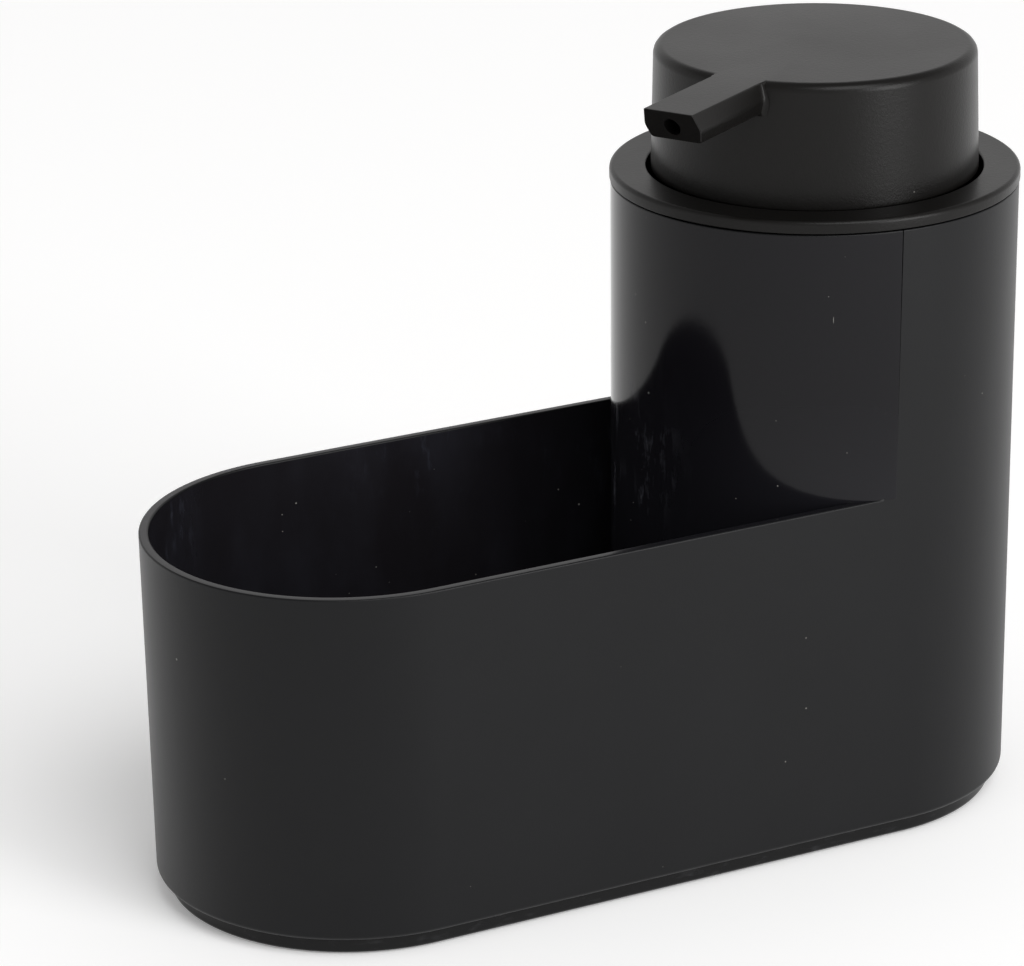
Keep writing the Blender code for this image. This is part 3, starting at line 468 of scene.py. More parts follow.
HEAD_R, HEAD_FOOT_R, HEAD_TOP, HEAD_BOTTOM = 0.033274, 0.033955, 0.1629, 0.1367
SPOUT_TURN = math.radians(30.9)
SPOUT_END = HEAD_R + 0.0271
SPOUT_FLARE = 0.0010
SPOUT_W, SPOUT_H, SPOUT_UNDERCUT = 0.0111, 0.0066, 0.0034
BORE_Z = HEAD_TOP - 0.0035


def spout_section(grow=0.0):
    """The spout's outline as (sideways, depth): flat top, and sides out to a soft crease and back."""
    top, crease, foot = SPOUT_W / 2, SPOUT_W / 2 + 0.0009, SPOUT_W / 2 + 0.0001
    height = SPOUT_H
    points = [
        (-top, 0.0, 0.00030), (top, 0.0, 0.00030), (crease, 0.56 * height, 0.0030),
        (foot, height, 0.0009), (-foot, height, 0.0009), (-crease, 0.56 * height, 0.0030),
    ]
    shifted = [(p[0] + 10.0, p[1], p[2]) for p in points]
    out = rounded(shifted, 0.0003, 8)
    loop = []
    for x, depth in out:
        x -= 10.0
        share = min(depth / height, 1.0)
        side = math.copysign(1.0, x) * min(abs(x) / (0.8 * top), 1.0)
        loop.append((x + side * grow * min(1.0, share * 6.0 + 0.2), depth + grow * share))
    return loop


def head_cap():
    flare = SPOUT_FLARE
    inside, ceiling = 0.0018, 0.1613
    profile = [
        (0.0, HEAD_TOP), (HEAD_R, HEAD_TOP, 0.0020), (HEAD_FOOT_R, HEAD_BOTTOM, 0.0004),
        (HEAD_FOOT_R - inside, HEAD_BOTTOM), (HEAD_R - inside, ceiling), (0.0078, ceiling),
        (0.0078, 0.1533), (0.0063, 0.1533), (0.0063, ceiling), (0.0, ceiling),
    ]
    cap = turned("Head_Cap", profile, 192, 0.0002)
    cap.modifiers.clear()
    patch = Patch()
    wall_x = -math.sqrt(HEAD_R**2 - (SPOUT_W / 2) ** 2)
    rows = []

    def place(x, section, lean=0.0):
        rows.append([(x + lean * d / SPOUT_H, y, HEAD_TOP - d) for y, d in section])

    root = HEAD_R - 0.0036
    place(-root, spout_section(flare))
    for share in np.linspace(0.0, 1.0, 9):
        away = flare * share
        grow = flare - math.sqrt(max(flare**2 - (flare - away) ** 2, 0.0))
        place(wall_x - away, spout_section(grow))
    place(-SPOUT_END + 0.00025, spout_section(), SPOUT_UNDERCUT)
    inner = [(y * 0.975, 0.00012 + d * (1 - 0.00024 / SPOUT_H)) for y, d in spout_section()]
    place(-SPOUT_END, inner, SPOUT_UNDERCUT)
    patch.sheet(rows, closed=True)
    patch.panel(rows[0])
    patch.panel(rows[-1])
    bar = make("spout_bar", patch.verts, patch.faces)
    boolean(cap, bar, "UNION")
    start, end = -root + 0.001, -SPOUT_END - 0.001
    boolean(cap, rod("bore_tool", 0.0018, start, end, BORE_Z), "DIFFERENCE")
    notch = box_tool("notch_tool", (-0.0088, -0.0017, 0.1523), (0.0, 0.0017, BORE_Z + 0.0017))
    boolean(cap, notch, "DIFFERENCE")
    turn_about_axis(cap, SPOUT_TURN)
    return weighted(tidy(cap, 35.0))


def turn_about_axis(obj, angle):
    centre = Matrix.Translation((TX, 0.0, 0.0))
    obj.data.transform(centre @ Matrix.Rotation(angle, 4, "Z") @ centre.inverted())


def rod(name, radius, start, end, height, steps=48):
    patch = Patch()
    ring = [(math.cos(a), math.sin(a)) for a in np.linspace(0.0, math.tau, steps, endpoint=False)]
    rows = [[(x, radius * c, height + radius * s) for c, s in ring] for x in (start, end)]
    patch.sheet(rows, closed=True)
    patch.panel(rows[0])
    patch.panel(rows[1])
    return make(name, patch.verts, patch.faces)


def box_tool(name, low, high):
    xs, ys, zs = zip(low, high)
    verts = [(x, y, z) for x in xs for y in ys for z in zs]
    faces = [(0, 1, 3, 2), (4, 6, 7, 5), (0, 4, 5, 1), (2, 3, 7, 6), (0, 2, 6, 4), (1, 5, 7, 3)]
    return make(name, verts, faces)


def actuator_core():
    profile = [
        (0.0, 0.1610), (0.0060, 0.1610), (0.0060, 0.1488), (0.0075, 0.1488), (0.0075, 0.1476),
        (0.0038, 0.1476), (0.0038, 0.1556), (0.0014, 0.1556), (0.0014, BORE_Z), (0.0, BORE_Z),
    ]
    core = turned("Actuator_Core", profile, 96, 0.0002)
    core.modifiers.clear()
    end = -HEAD_R - 0.0050
    boolean(core, rod("nozzle", 0.0014, -0.0037, end, BORE_Z), "UNION")
    boolean(core, rod("nozzle_bore", 0.0008, 0.0, end - 0.001, BORE_Z), "DIFFERENCE")
    turn_about_axis(core, SPOUT_TURN)
    return weighted(tidy(core, 35.0))


def collar():
    profile = [
        (0.0425552, 0.1373, 0.0009), (0.0425552, 0.1347), (0.0398552, 0.1347), (0.0398552, 0.1325),
        (0.0366552, 0.1325), (0.0366552, 0.1290), (0.0398552, 0.1290), (0.0398552, 0.1276, 0.0006),
        (0.0366552, 0.1276), (0.0366552, 0.1187, 0.0010), (0.0071, 0.1187), (0.0071, 0.1257),
        (0.0121, 0.1257, 0.0004), (0.0121, 0.1207, 0.0005), (0.0348552, 0.1207, 0.0010),
        (0.0348552, 0.1373, 0.0005),
    ]
    return turned("Pump_Collar", profile, 192, 0.0002)


def closure_nut():
    """Ribbed cap: eighteen soft ribs round a plain bore with a stepped hole in its top."""
    ribs, per_rib = 18, 12
    angles = np.linspace(0.0, math.tau, ribs * per_rib, endpoint=False)
    patch = Patch()

    def ring(radius, z, rib=0.0):
        swell = 0.5 - 0.5 * np.tanh(3.0 * np.cos(ribs * angles))
        radii = radius + rib * swell
        return [(r * math.cos(a), r * math.sin(a), z) for r, a in zip(radii, angles)]

    low, top, ceiling = 0.1213, 0.1321, 0.1305
    bore, hole, reach = 0.0124, 0.0063, 0.0146
    edge, lead, rib = 0.0005, 0.0002, 0.0005
    rows = [ring(bore, low + lead), ring(bore + lead, low)]
    rows += [ring(reach - lead, low, rib), ring(reach, low + lead, rib)]
    for a in np.linspace(0.0, math.pi / 2, 5):
        inset, rise = edge * (1 - math.cos(a)), edge * math.sin(a)
        rows.append(ring(reach - inset, top - edge + rise, rib * math.cos(a)))
    rows += [ring(hole + lead, top), ring(hole, top - lead), ring(hole, ceiling), ring(bore, ceiling)]
    patch.sheet(rows + rows[:1], closed=True)
    return weighted(make("Closure_Nut", patch.verts, patch.faces, 30.0))


def return_spring():
    """The wire as one helix of even pitch, between the part's own ends."""
    low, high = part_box("return_spring")
    wire, centre = 0.0004, 0.0042
    turns, per_turn, sides = 6.5, 40, 12
    count = round(turns * per_turn) + 1
    patch = Patch()
    rise = high.z - low.z - 2 * wire
    rows = []
    for t in np.linspace(0.0, 1.0, count):
        a = math.tau * turns * t
        slope = math.atan(rise / (math.tau * turns * centre))
        out = np.array([math.cos(a), math.sin(a), 0.0])
        along = np.array([-math.sin(a) * math.cos(slope), math.cos(a) * math.cos(slope), math.sin(slope)])
        side = np.cross(along, out)
        middle = out * centre + np.array([0.0, 0.0, low.z + wire + rise * t])
        rows.append([
            middle + wire * (math.cos(b) * out + math.sin(b) * side)
            for b in np.linspace(0.0, math.tau, sides, endpoint=False)
        ])
    patch.sheet(rows, closed=True)
    patch.panel(rows[0])
    patch.panel(rows[-1])
    spring = make("Return_Spring", patch.verts, patch.faces, 50.0)
    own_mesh(spring)
    return spring


def ball(name, height):
    """A valve ball, ground round, from a subdivided cube so that it has no poles."""
    bm = bmesh.new()
    bmesh.ops.create_cube(bm, size=2.0)
    bmesh.ops.subdivide_edges(bm, edges=bm.edges, cuts=11, use_grid_fill=True)
    for vert in bm.verts:
        vert.co = vert.co.normalized() * BALL_R + Vector((TX, 0.0, height))
    mesh = bpy.data.meshes.new(name)
    bm.to_mesh(mesh)
    bm.free()
    return finish_mesh(name, mesh, 60.0)


def seal_ring():
    middle, height, thick = 0.0384052, 0.13075, 0.00145
    angles = np.linspace(0.0, -math.tau, 24, endpoint=False)
    profile = [(middle + thick * math.cos(a), height + thick * math.sin(a)) for a in angles]
    return turned("Collar_Seal_Ring", profile, 160, 0.0)


def turned_pieces():
    """The plain turned pieces of the pump: name, node, body, slot, profile."""
    cone = 0.0813473
    return [
        ("Pump_Gasket", "pump_gasket", "pump", "soft_white_plastic",
         [(0.0071, 0.1270), (0.0118, 0.1270), (0.0118, 0.1260), (0.0071, 0.1260)]),
        ("Pump_Cylinder", "pump_cylinder", "pump", "natural_plastic",
         [(0.0056, 0.1287, 0.0004), (0.0118, 0.1287), (0.0118, 0.1273), (0.0068, 0.1273, 0.0003),
          (0.0068, cone), (0.0044, 0.0789473, 0.0005), (0.0044, 0.0686473, 0.0003),
          (0.0031, 0.0686473, 0.0004), (0.0031, 0.0789473), (0.0014, 0.0789473), (0.0014, cone, 0.0),
          (0.0038, 0.0837473), (0.0056, 0.0837473)]),
        ("Stem_Guide", "stem_guide", "pump", "natural_plastic",
         [(0.0038, 0.1330), (0.0060, 0.1330, 0.0005), (0.0060, 0.1302), (0.0090, 0.1302, 0.0004),
          (0.0090, 0.1290), (0.0053, 0.1290), (0.0053, 0.1240, 0.0006), (0.0038, 0.1240)]),
        ("Dip_Tube", "dip_tube", "pump", "soft_white_plastic",
         [(0.0020, 0.0786473), (0.0028, 0.0786473), (0.0028, 0.0115), (0.0020, 0.0115)]),
        ("Pump_Stem", "pump_stem", "plunger", "natural_plastic",
         [(0.0025, 0.1553), (0.0035, 0.1553, 0.0004), (0.0035, 0.1237), (0.0046, 0.1237),
          (0.0046, 0.1220), (0.0023, 0.1220), (0.0023, 0.1064, 0.0004), (0.0014, 0.1064),
          (0.0014, 0.1502473, 0.0), (0.0025, 0.1513473)]),
        ("Piston", "piston", "plunger", "soft_white_plastic",
         [(0.0026, 0.1217), (0.0053, 0.1217), (0.0053, 0.1207, 0.0003), (0.0042, 0.1197, 0.0008),
          (0.0042, 0.1149, 0.0008), (0.0053, 0.1139, 0.0003), (0.0053, 0.1129), (0.0026, 0.1129)]),
        ("Spring_Follower", "spring_follower", "plunger", "natural_plastic",
         [(0.0026, 0.1126), (0.0048, 0.1126), (0.0048, 0.1111), (0.0033, 0.1111, 0.0003),
          (0.0033, 0.1061, 0.0003), (0.0026, 0.1061)]),
    ]


class Look:
    """A Principled material, with short calls for the nodes that vary over its surface."""

    def __init__(self, name, colour, roughness, specular=0.5, metallic=0.0):
        self.material = bpy.data.materials.new(name)
        self.material.use_nodes = True
        self.tree = self.material.node_tree
        self.shader = self.tree.nodes["Principled BSDF"]
        self.put("Base Color", (*colour, 1.0))
        self.put("Roughness", roughness)
        self.put("Specular IOR Level", specular)
        self.put("Metallic", metallic)
        self.material.diffuse_color = (*colour, 1.0)
        self.place = self.tree.nodes.new("ShaderNodeTexCoord").outputs["Object"]

    def put(self, socket, value):
        """Sets a socket of the shader, or links a varying value to it."""
        if isinstance(value, bpy.types.NodeSocket):
            self.tree.links.new(value, self.shader.inputs[socket])
        else:
            self.shader.inputs[socket].default_value = value

    def node(self, kind, inputs, **settings):
        node = self.tree.nodes.new(kind)
        for key, value in settings.items():
            setattr(node, key, value)
        for key, value in inputs.items():
            if isinstance(value, bpy.types.NodeSocket):
                self.tree.links.new(value, node.inputs[key])
            else:
                node.inputs[key].default_value = value
        return node

    def stretched(self, scale, turn=(0.0, 0.0, 0.0)):
        inputs = {"Vector": self.place, "Scale": scale, "Rotation": turn}
        return self.node("ShaderNodeMapping", inputs).outputs["Vector"]

    def noise(self, scale, detail=2.0, rough=0.5, place=None):
        inputs = {"Vector": place or self.place, "Scale": scale, "Detail": detail, "Roughness": rough}
        return self.node("ShaderNodeTexNoise", inputs).outputs["Fac"]

    def math(self, operation, a, b):
        return self.node("ShaderNodeMath", {0: a, 1: b}, operation=operation).outputs[0]

    def ramp(self, value, low, high, bottom=0.0, top=1.0):
        """The value carried from low..high to bottom..top, and held there beyond."""
        inputs = {"Value": value, "From Min": low, "From Max": high, "To Min": bottom, "To Max": top}
        return self.node("ShaderNodeMapRange", inputs).outputs["Result"]

    def mix(self, share, a, b):
        node = self.node("ShaderNodeMix", {}, data_type="RGBA")
        for socket, value in ((node.inputs[0], share), (node.inputs[6], a), (node.inputs[7], b)):
            if isinstance(value, bpy.types.NodeSocket):
                self.tree.links.new(value, socket)
            else:
                socket.default_value = value if isinstance(value, float) else (*value, 1.0)
        return node.outputs[2]

    def bump(self, height, distance, strength, normal=None):
        inputs = {"Height": height, "Distance": distance, "Strength": strength}
        if normal is not None:
            inputs["Normal"] = normal
        return self.node("ShaderNodeBump", inputs).outputs["Normal"]

    def specks(self, cell, reach, rarity, place=None):
        """Round spots, 1 on a spot and 0 between, one to a cell. Most cells hold a tiny one or none."""
        node = self.node("ShaderNodeTexVoronoi", {"Vector": place or self.place, "Scale": 1.0 / cell})
        split = self.node("ShaderNodeSeparateColor", {"Color": node.outputs["Color"]})
        size = self.math("MULTIPLY", self.math("POWER", split.outputs[0], rarity), reach / cell)
        share = self.math("DIVIDE", node.outputs["Distance"], self.math("ADD", size, 1e-4))
        return self.ramp(share, 1.0, 0.6)

    def both(self, a, b):
        return self.math("MAXIMUM", a, b)


def dusty(look, colour, amount, fine=0.0):
    """Dust specks and short pale hairs over a dark plastic, and finer specks on a glossy one."""
    dots = look.specks(0.0048, 0.00030, 5.0)
    hairs = look.specks(0.0034, 0.00011, 3.0, look.stretched((1.0, 1.0, 0.10), turn=(0.5, 0.9, 0.3)))
    seldom = look.ramp(look.noise(45.0, 1.0), 0.54, 0.64)
    marks = look.both(dots, look.math("MULTIPLY", hairs, seldom))
    if fine:
        marks = look.both(marks, look.math("MULTIPLY", look.specks(0.0030, 0.00024, 3.0), fine))
    marks = look.math("MULTIPLY", marks, amount)
    look.put("Base Color", look.mix(marks, colour, DUST))
    return marks


def satin_wall():
    look = Look("satin_black_wall", (0.0044, 0.0046, 0.0052), 0.37, 0.200)
    cloud = look.noise(38.0, 4.0, 0.6)
    grain = look.noise(2600.0, 2.0)
    colour = look.mix(cloud, (0.0035, 0.0036, 0.0042), (0.0056, 0.0059, 0.0066))
    marks = dusty(look, colour, 0.40)
    smear = look.noise(16.0, 3.0, 0.55, look.stretched((1.0, 1.0, 0.35)))
    roughness = look.ramp(smear, 0.3, 0.7, 0.34, 0.42)
    look.put("Roughness", look.math("ADD", roughness, look.math("MULTIPLY", marks, 0.3)))
    soft = look.bump(look.noise(55.0, 2.0), 0.00012, 0.35)
    look.put("Normal", look.bump(grain, 0.00003, 0.5, soft))
    return look.material


def gloss_front():
    """The tray side of the tower: mirror-like, a little wavy, with dried drips in patches low down."""
    look = Look("gloss_black_front", (0.0050, 0.0047, 0.0060), 0.09, 0.200)
    drips = look.noise(330.0, 6.0, 0.72, look.stretched((1.0, 1.0, 0.30)))
    place = look.node("ShaderNodeSeparateXYZ", {"Vector": look.place})
    low_down = look.ramp(place.outputs["Z"], 0.104, 0.090)
    far_side = look.ramp(place.outputs["Y"], -0.018, -0.002)
    patches = look.ramp(look.noise(70.0, 2.0), 0.44, 0.62, 0.10, 1.0)
    where = look.math("MULTIPLY", patches, look.math("MULTIPLY", low_down, far_side))
    film = look.math("MULTIPLY", look.ramp(drips, 0.53, 0.72), where)
    even = look.ramp(place.outputs["Z"], 0.100, 0.070, 0.0, 0.045)
    film = look.math("ADD", look.math("MULTIPLY", film, 0.85), even)
    colour = look.mix(film, (0.0050, 0.0047, 0.0060), (0.084, 0.087, 0.104))
    marks = dusty(look, colour, 0.70, 0.8)
    roughness = look.ramp(look.noise(30.0, 3.0), 0.3, 0.7, 0.075, 0.115)
    roughness = look.math("ADD", roughness, look.math("MULTIPLY", film, 0.5))
    look.put("Roughness", look.math("ADD", roughness, look.math("MULTIPLY", marks, 0.4)))
    ripple = look.bump(look.noise(900.0, 1.0), 0.000006, 0.4)
    look.put("Normal", look.bump(look.noise(34.0, 1.0), 0.00016, 0.30, ripple))
    return look.material


def tray_inside():
    """Glossy, with a bluish film of dried soap in clouds, and fine upright drips near the rim."""
    look = Look("gloss_black_tray", (0.0120, 0.0114, 0.0128), 0.18, 0.215)
    haze = look.noise(85.0, 5.0, 0.62, look.stretched((1.0, 1.0, 0.35)))
    cloud = look.ramp(look.noise(27.0, 3.0, 0.55), 0.44, 0.62)
    drops = look.noise(420.0, 4.0, 0.65, look.stretched((1.0, 1.0, 0.28)))
    place = look.node("ShaderNodeSeparateXYZ", {"Vector": look.place})
    near_rim = look.ramp(place.outputs["Z"], 0.052, 0.066)
    drops = look.math("MULTIPLY", look.ramp(drops, 0.56, 0.74), look.math("MULTIPLY", cloud, near_rim))
    film = look.ramp(haze, 0.36, 0.76, 0.02, 0.16)
    film = look.math("MULTIPLY", film, look.ramp(cloud, 0.0, 1.0, 0.5, 1.3))
    film = look.math("ADD", film, look.math("MULTIPLY", drops, 0.40))
    colour = look.mix(film, (0.0086, 0.0078, 0.0092), (0.046, 0.049, 0.066))
    marks = dusty(look, colour, 0.80, 0.7)
    roughness = look.ramp(haze, 0.35, 0.7, 0.12, 0.22)
    look.put("Roughness", look.math("ADD", roughness, look.math("MULTIPLY", marks, 0.4)))
    look.put("Normal", look.bump(look.noise(40.0, 2.0), 0.00014, 0.30))
    return look.material


def reservoir_inside():
    """The tower's bore, with a little dried soap in upright streaks."""
    look = Look("satin_black_bore", (0.007, 0.007, 0.0075), 0.30, 0.34)
    film = look.ramp(look.noise(90.0, 4.0, 0.6, look.stretched((1.0, 1.0, 0.25))), 0.45, 0.7)
    share = look.math("MULTIPLY", film, 0.4)
    look.put("Base Color", look.mix(share, (0.007, 0.007, 0.0075), (0.022, 0.023, 0.025)))
    look.put("Roughness", look.ramp(film, 0.0, 1.0, 0.26, 0.40))
    look.put("Normal", look.bump(look.noise(60.0, 2.0), 0.0001, 0.3))
    return look.material


def grained_head():
    """Head, collar and nut: a neutral black with the fine even grain of an eroded mould."""
    look = Look("matte_black_grain", (0.0046, 0.0042, 0.0039), 0.32, 0.188)
    colour = look.mix(look.noise(50.0, 4.0, 0.6), (0.0038, 0.0035, 0.0032), (0.0056, 0.0051, 0.0047))
    marks = dusty(look, colour, 0.35)
    roughness = look.ramp(look.noise(22.0, 3.0, 0.6), 0.3, 0.7, 0.29, 0.35)
    look.put("Roughness", look.math("ADD", roughness, look.math("MULTIPLY", marks, 0.3)))
    grain = look.math("ADD", look.noise(3200.0, 2.0), look.noise(1300.0, 1.0))
    look.put("Normal", look.bump(grain, 0.00003, 0.7, look.bump(look.noise(45.0, 2.0), 0.0001, 0.3)))
    return look.material


def gloss_foot():
    look = Look("gloss_black_foot", (0.0057, 0.0057, 0.0060), 0.14, 0.187)
    scuffs = look.noise(240.0, 4.0, 0.6, look.stretched((1.0, 1.0, 3.0)))
    film = look.math("MULTIPLY", look.ramp(scuffs, 0.55, 0.75), 0.4)
    colour = look.mix(film, (0.0057, 0.0057, 0.0060), (0.040, 0.040, 0.043))
    dusty(look, colour, 0.5)
    look.put("Roughness", look.ramp(scuffs, 0.4, 0.75, 0.11, 0.24))
    look.put("Normal", look.bump(look.noise(60.0, 2.0), 0.0001, 0.3))
    return look.material


def rubber():
    look = Look("black_rubber_soft", (0.018, 0.018, 0.018), 0.78, 0.40)
    bloom = look.noise(160.0, 4.0, 0.6)
    look.put("Base Color", look.mix(bloom, (0.014, 0.014, 0.014), (0.026, 0.026, 0.025)))
    look.put("Roughness", look.ramp(bloom, 0.3, 0.7, 0.70, 0.86))
    look.put("Normal", look.bump(look.noise(1500.0, 3.0), 0.00004, 0.6))
    return look.material


def milky_plastic():
    look = Look("natural_polypropylene", (0.72, 0.73, 0.71), 0.38, 0.5)
    look.put("Subsurface Weight", 0.25)
    look.put("Subsurface Radius", (0.0030, 0.0030, 0.0028))
    look.put("Subsurface Scale", 1.0)
    flow = look.noise(110.0, 3.0, 0.5, look.stretched((1.0, 1.0, 0.4)))
    look.put("Base Color", look.mix(flow, (0.69, 0.70, 0.68), (0.75, 0.76, 0.74)))
    look.put("Roughness", look.ramp(flow, 0.3, 0.7, 0.33, 0.43))
    look.put("Normal", look.bump(look.noise(1400.0, 2.0), 0.00001, 0.5))
    return look.material


def waxy_plastic():
    look = Look("soft_white_polyethylene", (0.80, 0.80, 0.77), 0.5, 0.45)
    look.put("Subsurface Weight", 0.35)
    look.put("Subsurface Radius", (0.0040, 0.0040, 0.0036))
    look.put("Subsurface Scale", 1.0)
    flow = look.noise(150.0, 3.0, 0.55)
    look.put("Base Color", look.mix(flow, (0.77, 0.77, 0.74), (0.83, 0.83, 0.80)))
    look.put("Roughness", look.ramp(flow, 0.3, 0.7, 0.45, 0.58))
    look.put("Normal", look.bump(look.noise(900.0, 3.0), 0.00002, 0.5))
    return look.material


def drawn_wire():
    look = Look("drawn_spring_wire", (0.60, 0.60, 0.58), 0.28, 0.5, 1.0)
    lines = look.noise(3500.0, 3.0, 0.6)
    look.put("Base Color", look.mix(lines, (0.52, 0.52, 0.50), (0.66, 0.66, 0.64)))
    look.put("Roughness", look.ramp(lines, 0.3, 0.7, 0.20, 0.36))
    look.put("Normal", look.bump(lines, 0.000004, 0.6))
    return look.material


def polished_steel():
    look = Look("polished_valve_steel", (0.68, 0.68, 0.69), 0.08, 0.5, 1.0)
    fine = look.noise(4200.0, 3.0, 0.6)
    look.put("Base Color", look.mix(fine, (0.64, 0.64, 0.65), (0.70, 0.70, 0.71)))
    look.put("Roughness", look.ramp(look.noise(600.0, 3.0), 0.3, 0.7, 0.05, 0.14))
    look.put("Normal", look.bump(fine, 0.000001, 0.5))
    return look.material


SLOTS = {
    "gloss_black": gloss_foot(),
    "matte_black": grained_head(),
    "black_rubber": rubber(),
    "natural_plastic": milky_plastic(),
    "soft_white_plastic": waxy_plastic(),
    "spring_steel": drawn_wire(),
    "valve_steel": polished_steel(),
}


def dress(piece, node, body, slot, materials=()):
    """Gives a piece its finish and its body, and hides the CAD node that it stands for."""
    for material in materials or (SLOTS[slot],):
        piece.data.materials.append(material)
    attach(piece, body)
    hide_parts(node)


def dress_all():
    walls = (satin_wall(), gloss_front(), tray_inside(), reservoir_inside())
    dress(housing(), "caddy_housing", "caddy", "satin_black", walls)
    dress(base_plate(), "base_plate", "caddy", "gloss_black")
    for node, (x, y) in zip(FOOT_PADS, pad_places()):
        dress(foot_pad(node.title(), x, y), node, "caddy", "black_rubber")
    dress(collar(), "collar", "pump", "matte_black")
    dress(seal_ring(), "collar_seal_ring", "pump", "black_rubber")
    dress(closure_nut(), "closure_nut", "pump", "matte_black")
    for name, node, body, slot, profile in turned_pieces():
        dress(turned(name, profile, 96, 0.0001), node, body, slot)
    dress(return_spring(), "return_spring", "pump", "spring_steel")
    dress(ball("Inlet_Ball", 0.0832), "inlet_ball", "inlet_valve_ball", "valve_steel")
    dress(ball("Outlet_Ball", 0.1521), "outlet_ball", "outlet_valve_ball", "valve_steel")
    dress(head_cap(), "head_cap", "head", "matte_black")
    dress(actuator_core(), "actuator_core", "head", "natural_plastic")
    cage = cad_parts["ball_cage"]
    for material_slot in cage.material_slots:
        material_slot.material = SLOTS["natural_plastic"]


def studio_world():
    """Even soft studio light from all round, stronger near the horizon than from straight above."""
    world = bpy.data.worlds.new("soft_studio")
    world.use_nodes = True
    tree = world.node_tree
    tree.nodes.clear()
    place = tree.nodes.new("ShaderNodeTexCoord")
    split = tree.nodes.new("ShaderNodeSeparateXYZ")
    tree.links.new(place.outputs["Generated"], split.inputs[0])
    height = tree.nodes.new("ShaderNodeMapRange")
    height.interpolation_type = "SMOOTHSTEP"
    tree.links.new(split.outputs["Z"], height.inputs["Value"])
    height.inputs["From Min"].default_value = 0.36
    height.inputs["From Max"].default_value = 0.68
    height.inputs["To Min"].default_value = WORLD_HORIZON
    height.inputs["To Max"].default_value = WORLD_ZENITH
    light = tree.nodes.new("ShaderNodeBackground")
    light.inputs["Color"].default_value = (1.0, 0.99, 0.985, 1.0)
    tree.links.new(height.outputs["Result"], light.inputs["Strength"])
    output = tree.nodes.new("ShaderNodeOutputWorld")
    tree.links.new(light.outputs[0], output.inputs["Surface"])
    bpy.context.scene.world = world


def seen_rays(tree):
    """1 for rays from the camera and for mirrored and transmitted ones, 0 for the ones that light things."""
    path = tree.nodes.new("ShaderNodeLightPath")
    total = path.outputs["Is Camera Ray"]
    for name in ("Is Glossy Ray", "Is Transmission Ray"):
        add = tree.nodes.new("ShaderNodeMath")
        add.operation = "ADD"
        add.use_clamp = True
        tree.links.new(total, add.inputs[0])
        tree.links.new(path.outputs[name], add.inputs[1])
        total = add.outputs[0]
    return total


def floor():
    """A wide plain white surface that takes the shadows, lifted a little where it is seen."""
    mesh = bpy.data.meshes.new("floor")
    reach = 6.0
    corners = [(-reach, -reach, 0.0), (reach, -reach, 0.0), (reach, reach, 0.0), (-reach, reach, 0.0)]
    mesh.from_pydata(corners, [], [(0, 1, 2, 3)])
    obj = bpy.data.objects.new("floor", mesh)
    bpy.context.scene.collection.objects.link(obj)
    material = bpy.data.materials.new("pale_floor")
    material.use_nodes = True
    tree = material.node_tree
    tree.nodes.clear()
    plain = tree.nodes.new("ShaderNodeBsdfDiffuse")
    plain.inputs["Color"].default_value = (FLOOR_COLOUR, FLOOR_COLOUR, FLOOR_COLOUR, 1.0)
    lift = tree.nodes.new("ShaderNodeEmission")
    strength = tree.nodes.new("ShaderNodeMath")
    strength.operation = "MULTIPLY"
    tree.links.new(seen_rays(tree), strength.inputs[0])
    strength.inputs[1].default_value = FLOOR_LIFT
    tree.links.new(strength.outputs[0], lift.inputs["Strength"])
    add = tree.nodes.new("ShaderNodeAddShader")
    tree.links.new(plain.outputs[0], add.inputs[0])
    tree.links.new(lift.outputs[0], add.inputs[1])
    output = tree.nodes.new("ShaderNodeOutputMaterial")
    tree.links.new(add.outputs[0], output.inputs["Surface"])
    mesh.materials.append(material)


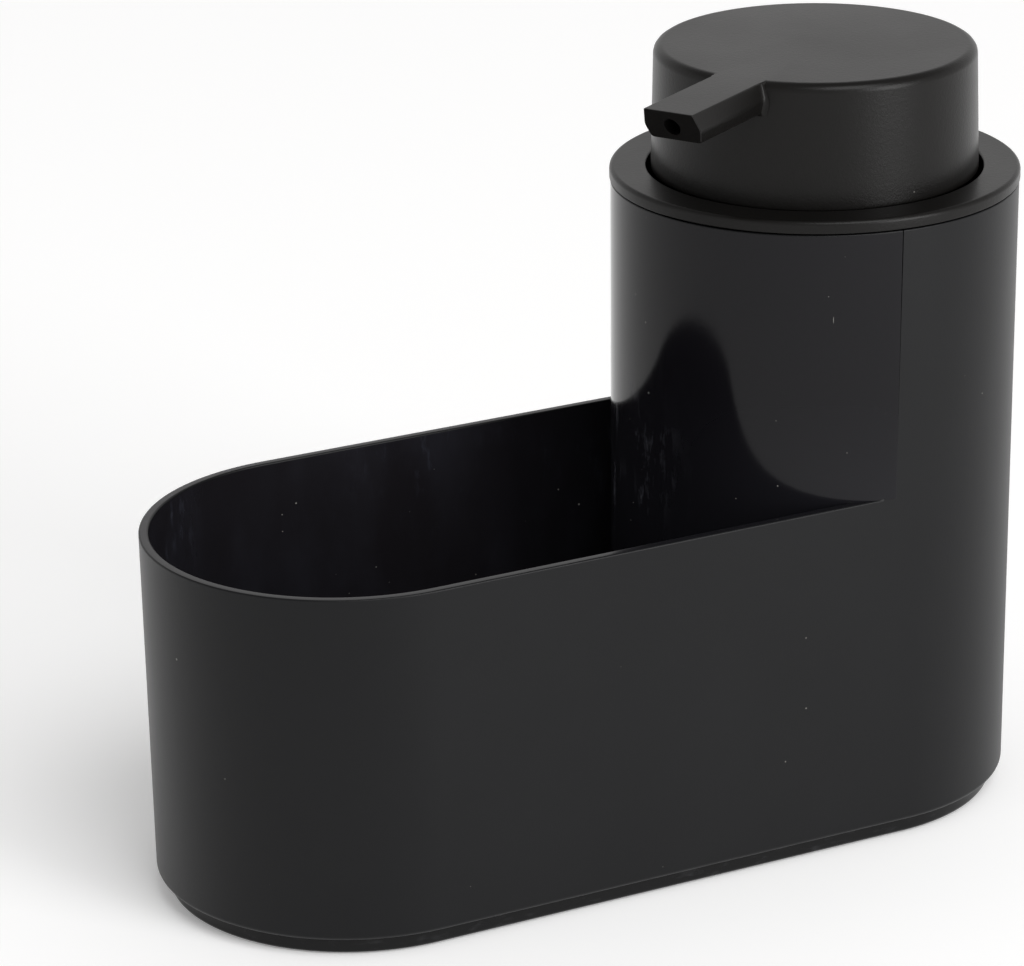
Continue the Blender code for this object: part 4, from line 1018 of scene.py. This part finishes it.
def sun(name, azimuth, elevation, strength, width):
    """A very wide soft light from a direction: azimuth from +X towards +Y, in degrees."""
    lamp = bpy.data.lights.new(name, "SUN")
    lamp.energy = strength
    lamp.angle = math.radians(width)
    obj = bpy.data.objects.new(name, lamp)
    bpy.context.scene.collection.objects.link(obj)
    a, e = math.radians(azimuth), math.radians(elevation)
    towards = Vector((math.cos(a) * math.cos(e), math.sin(a) * math.cos(e), math.sin(e)))
    obj.rotation_mode = "QUATERNION"
    obj.rotation_quaternion = towards.to_track_quat("Z", "Y")


def softbox(name, azimuth, distance, size, power):
    """A tall soft light that stands just over the floor, at a distance from the part's middle."""
    lamp = bpy.data.lights.new(name, "AREA")
    lamp.shape = "RECTANGLE"
    lamp.size, lamp.size_y = size
    lamp.energy = power
    obj = bpy.data.objects.new(name, lamp)
    bpy.context.scene.collection.objects.link(obj)
    a = math.radians(azimuth)
    towards = Vector((math.cos(a), math.sin(a), 0.0))
    over_floor = 0.02
    obj.location = towards * distance + Vector((0.0, 0.0, size[1] / 2 + over_floor))
    obj.rotation_mode = "QUATERNION"
    obj.rotation_quaternion = towards.to_track_quat("Z", "Y")


def camera():
    a, e, roll = (math.radians(v) for v in (CAM_AZ, CAM_EL, CAM_ROLL))
    back = Vector((math.sin(a) * math.cos(e), -math.cos(a) * math.cos(e), math.sin(e)))
    right = Vector((0.0, 0.0, 1.0)).cross(back).normalized()
    up = back.cross(right)
    c, s = math.cos(roll), math.sin(roll)
    right, up = right * c + up * s, up * c - right * s
    data = bpy.data.cameras.new("photo_camera")
    data.lens = CAM_LENS
    data.sensor_width = 36.0
    data.clip_start, data.clip_end = 0.01, 50.0
    obj = bpy.data.objects.new("photo_camera", data)
    bpy.context.scene.collection.objects.link(obj)
    obj.matrix_world = Matrix.Translation(Vector(CAM_TARGET) + back * CAM_DISTANCE) @ Matrix(
        ((right.x, up.x, back.x, 0), (right.y, up.y, back.y, 0), (right.z, up.z, back.z, 0), (0, 0, 0, 1))
    )
    bpy.context.scene.camera = obj


dress_all()
floor()
studio_world()
softbox("key_softbox", -66.0, 1.30, (0.62, 0.90), 10.0)
sun("front_light", -88.0, 52.0, 1.25, 36.0)
camera()
bpy.context.scene.view_settings.view_transform = "Standard"
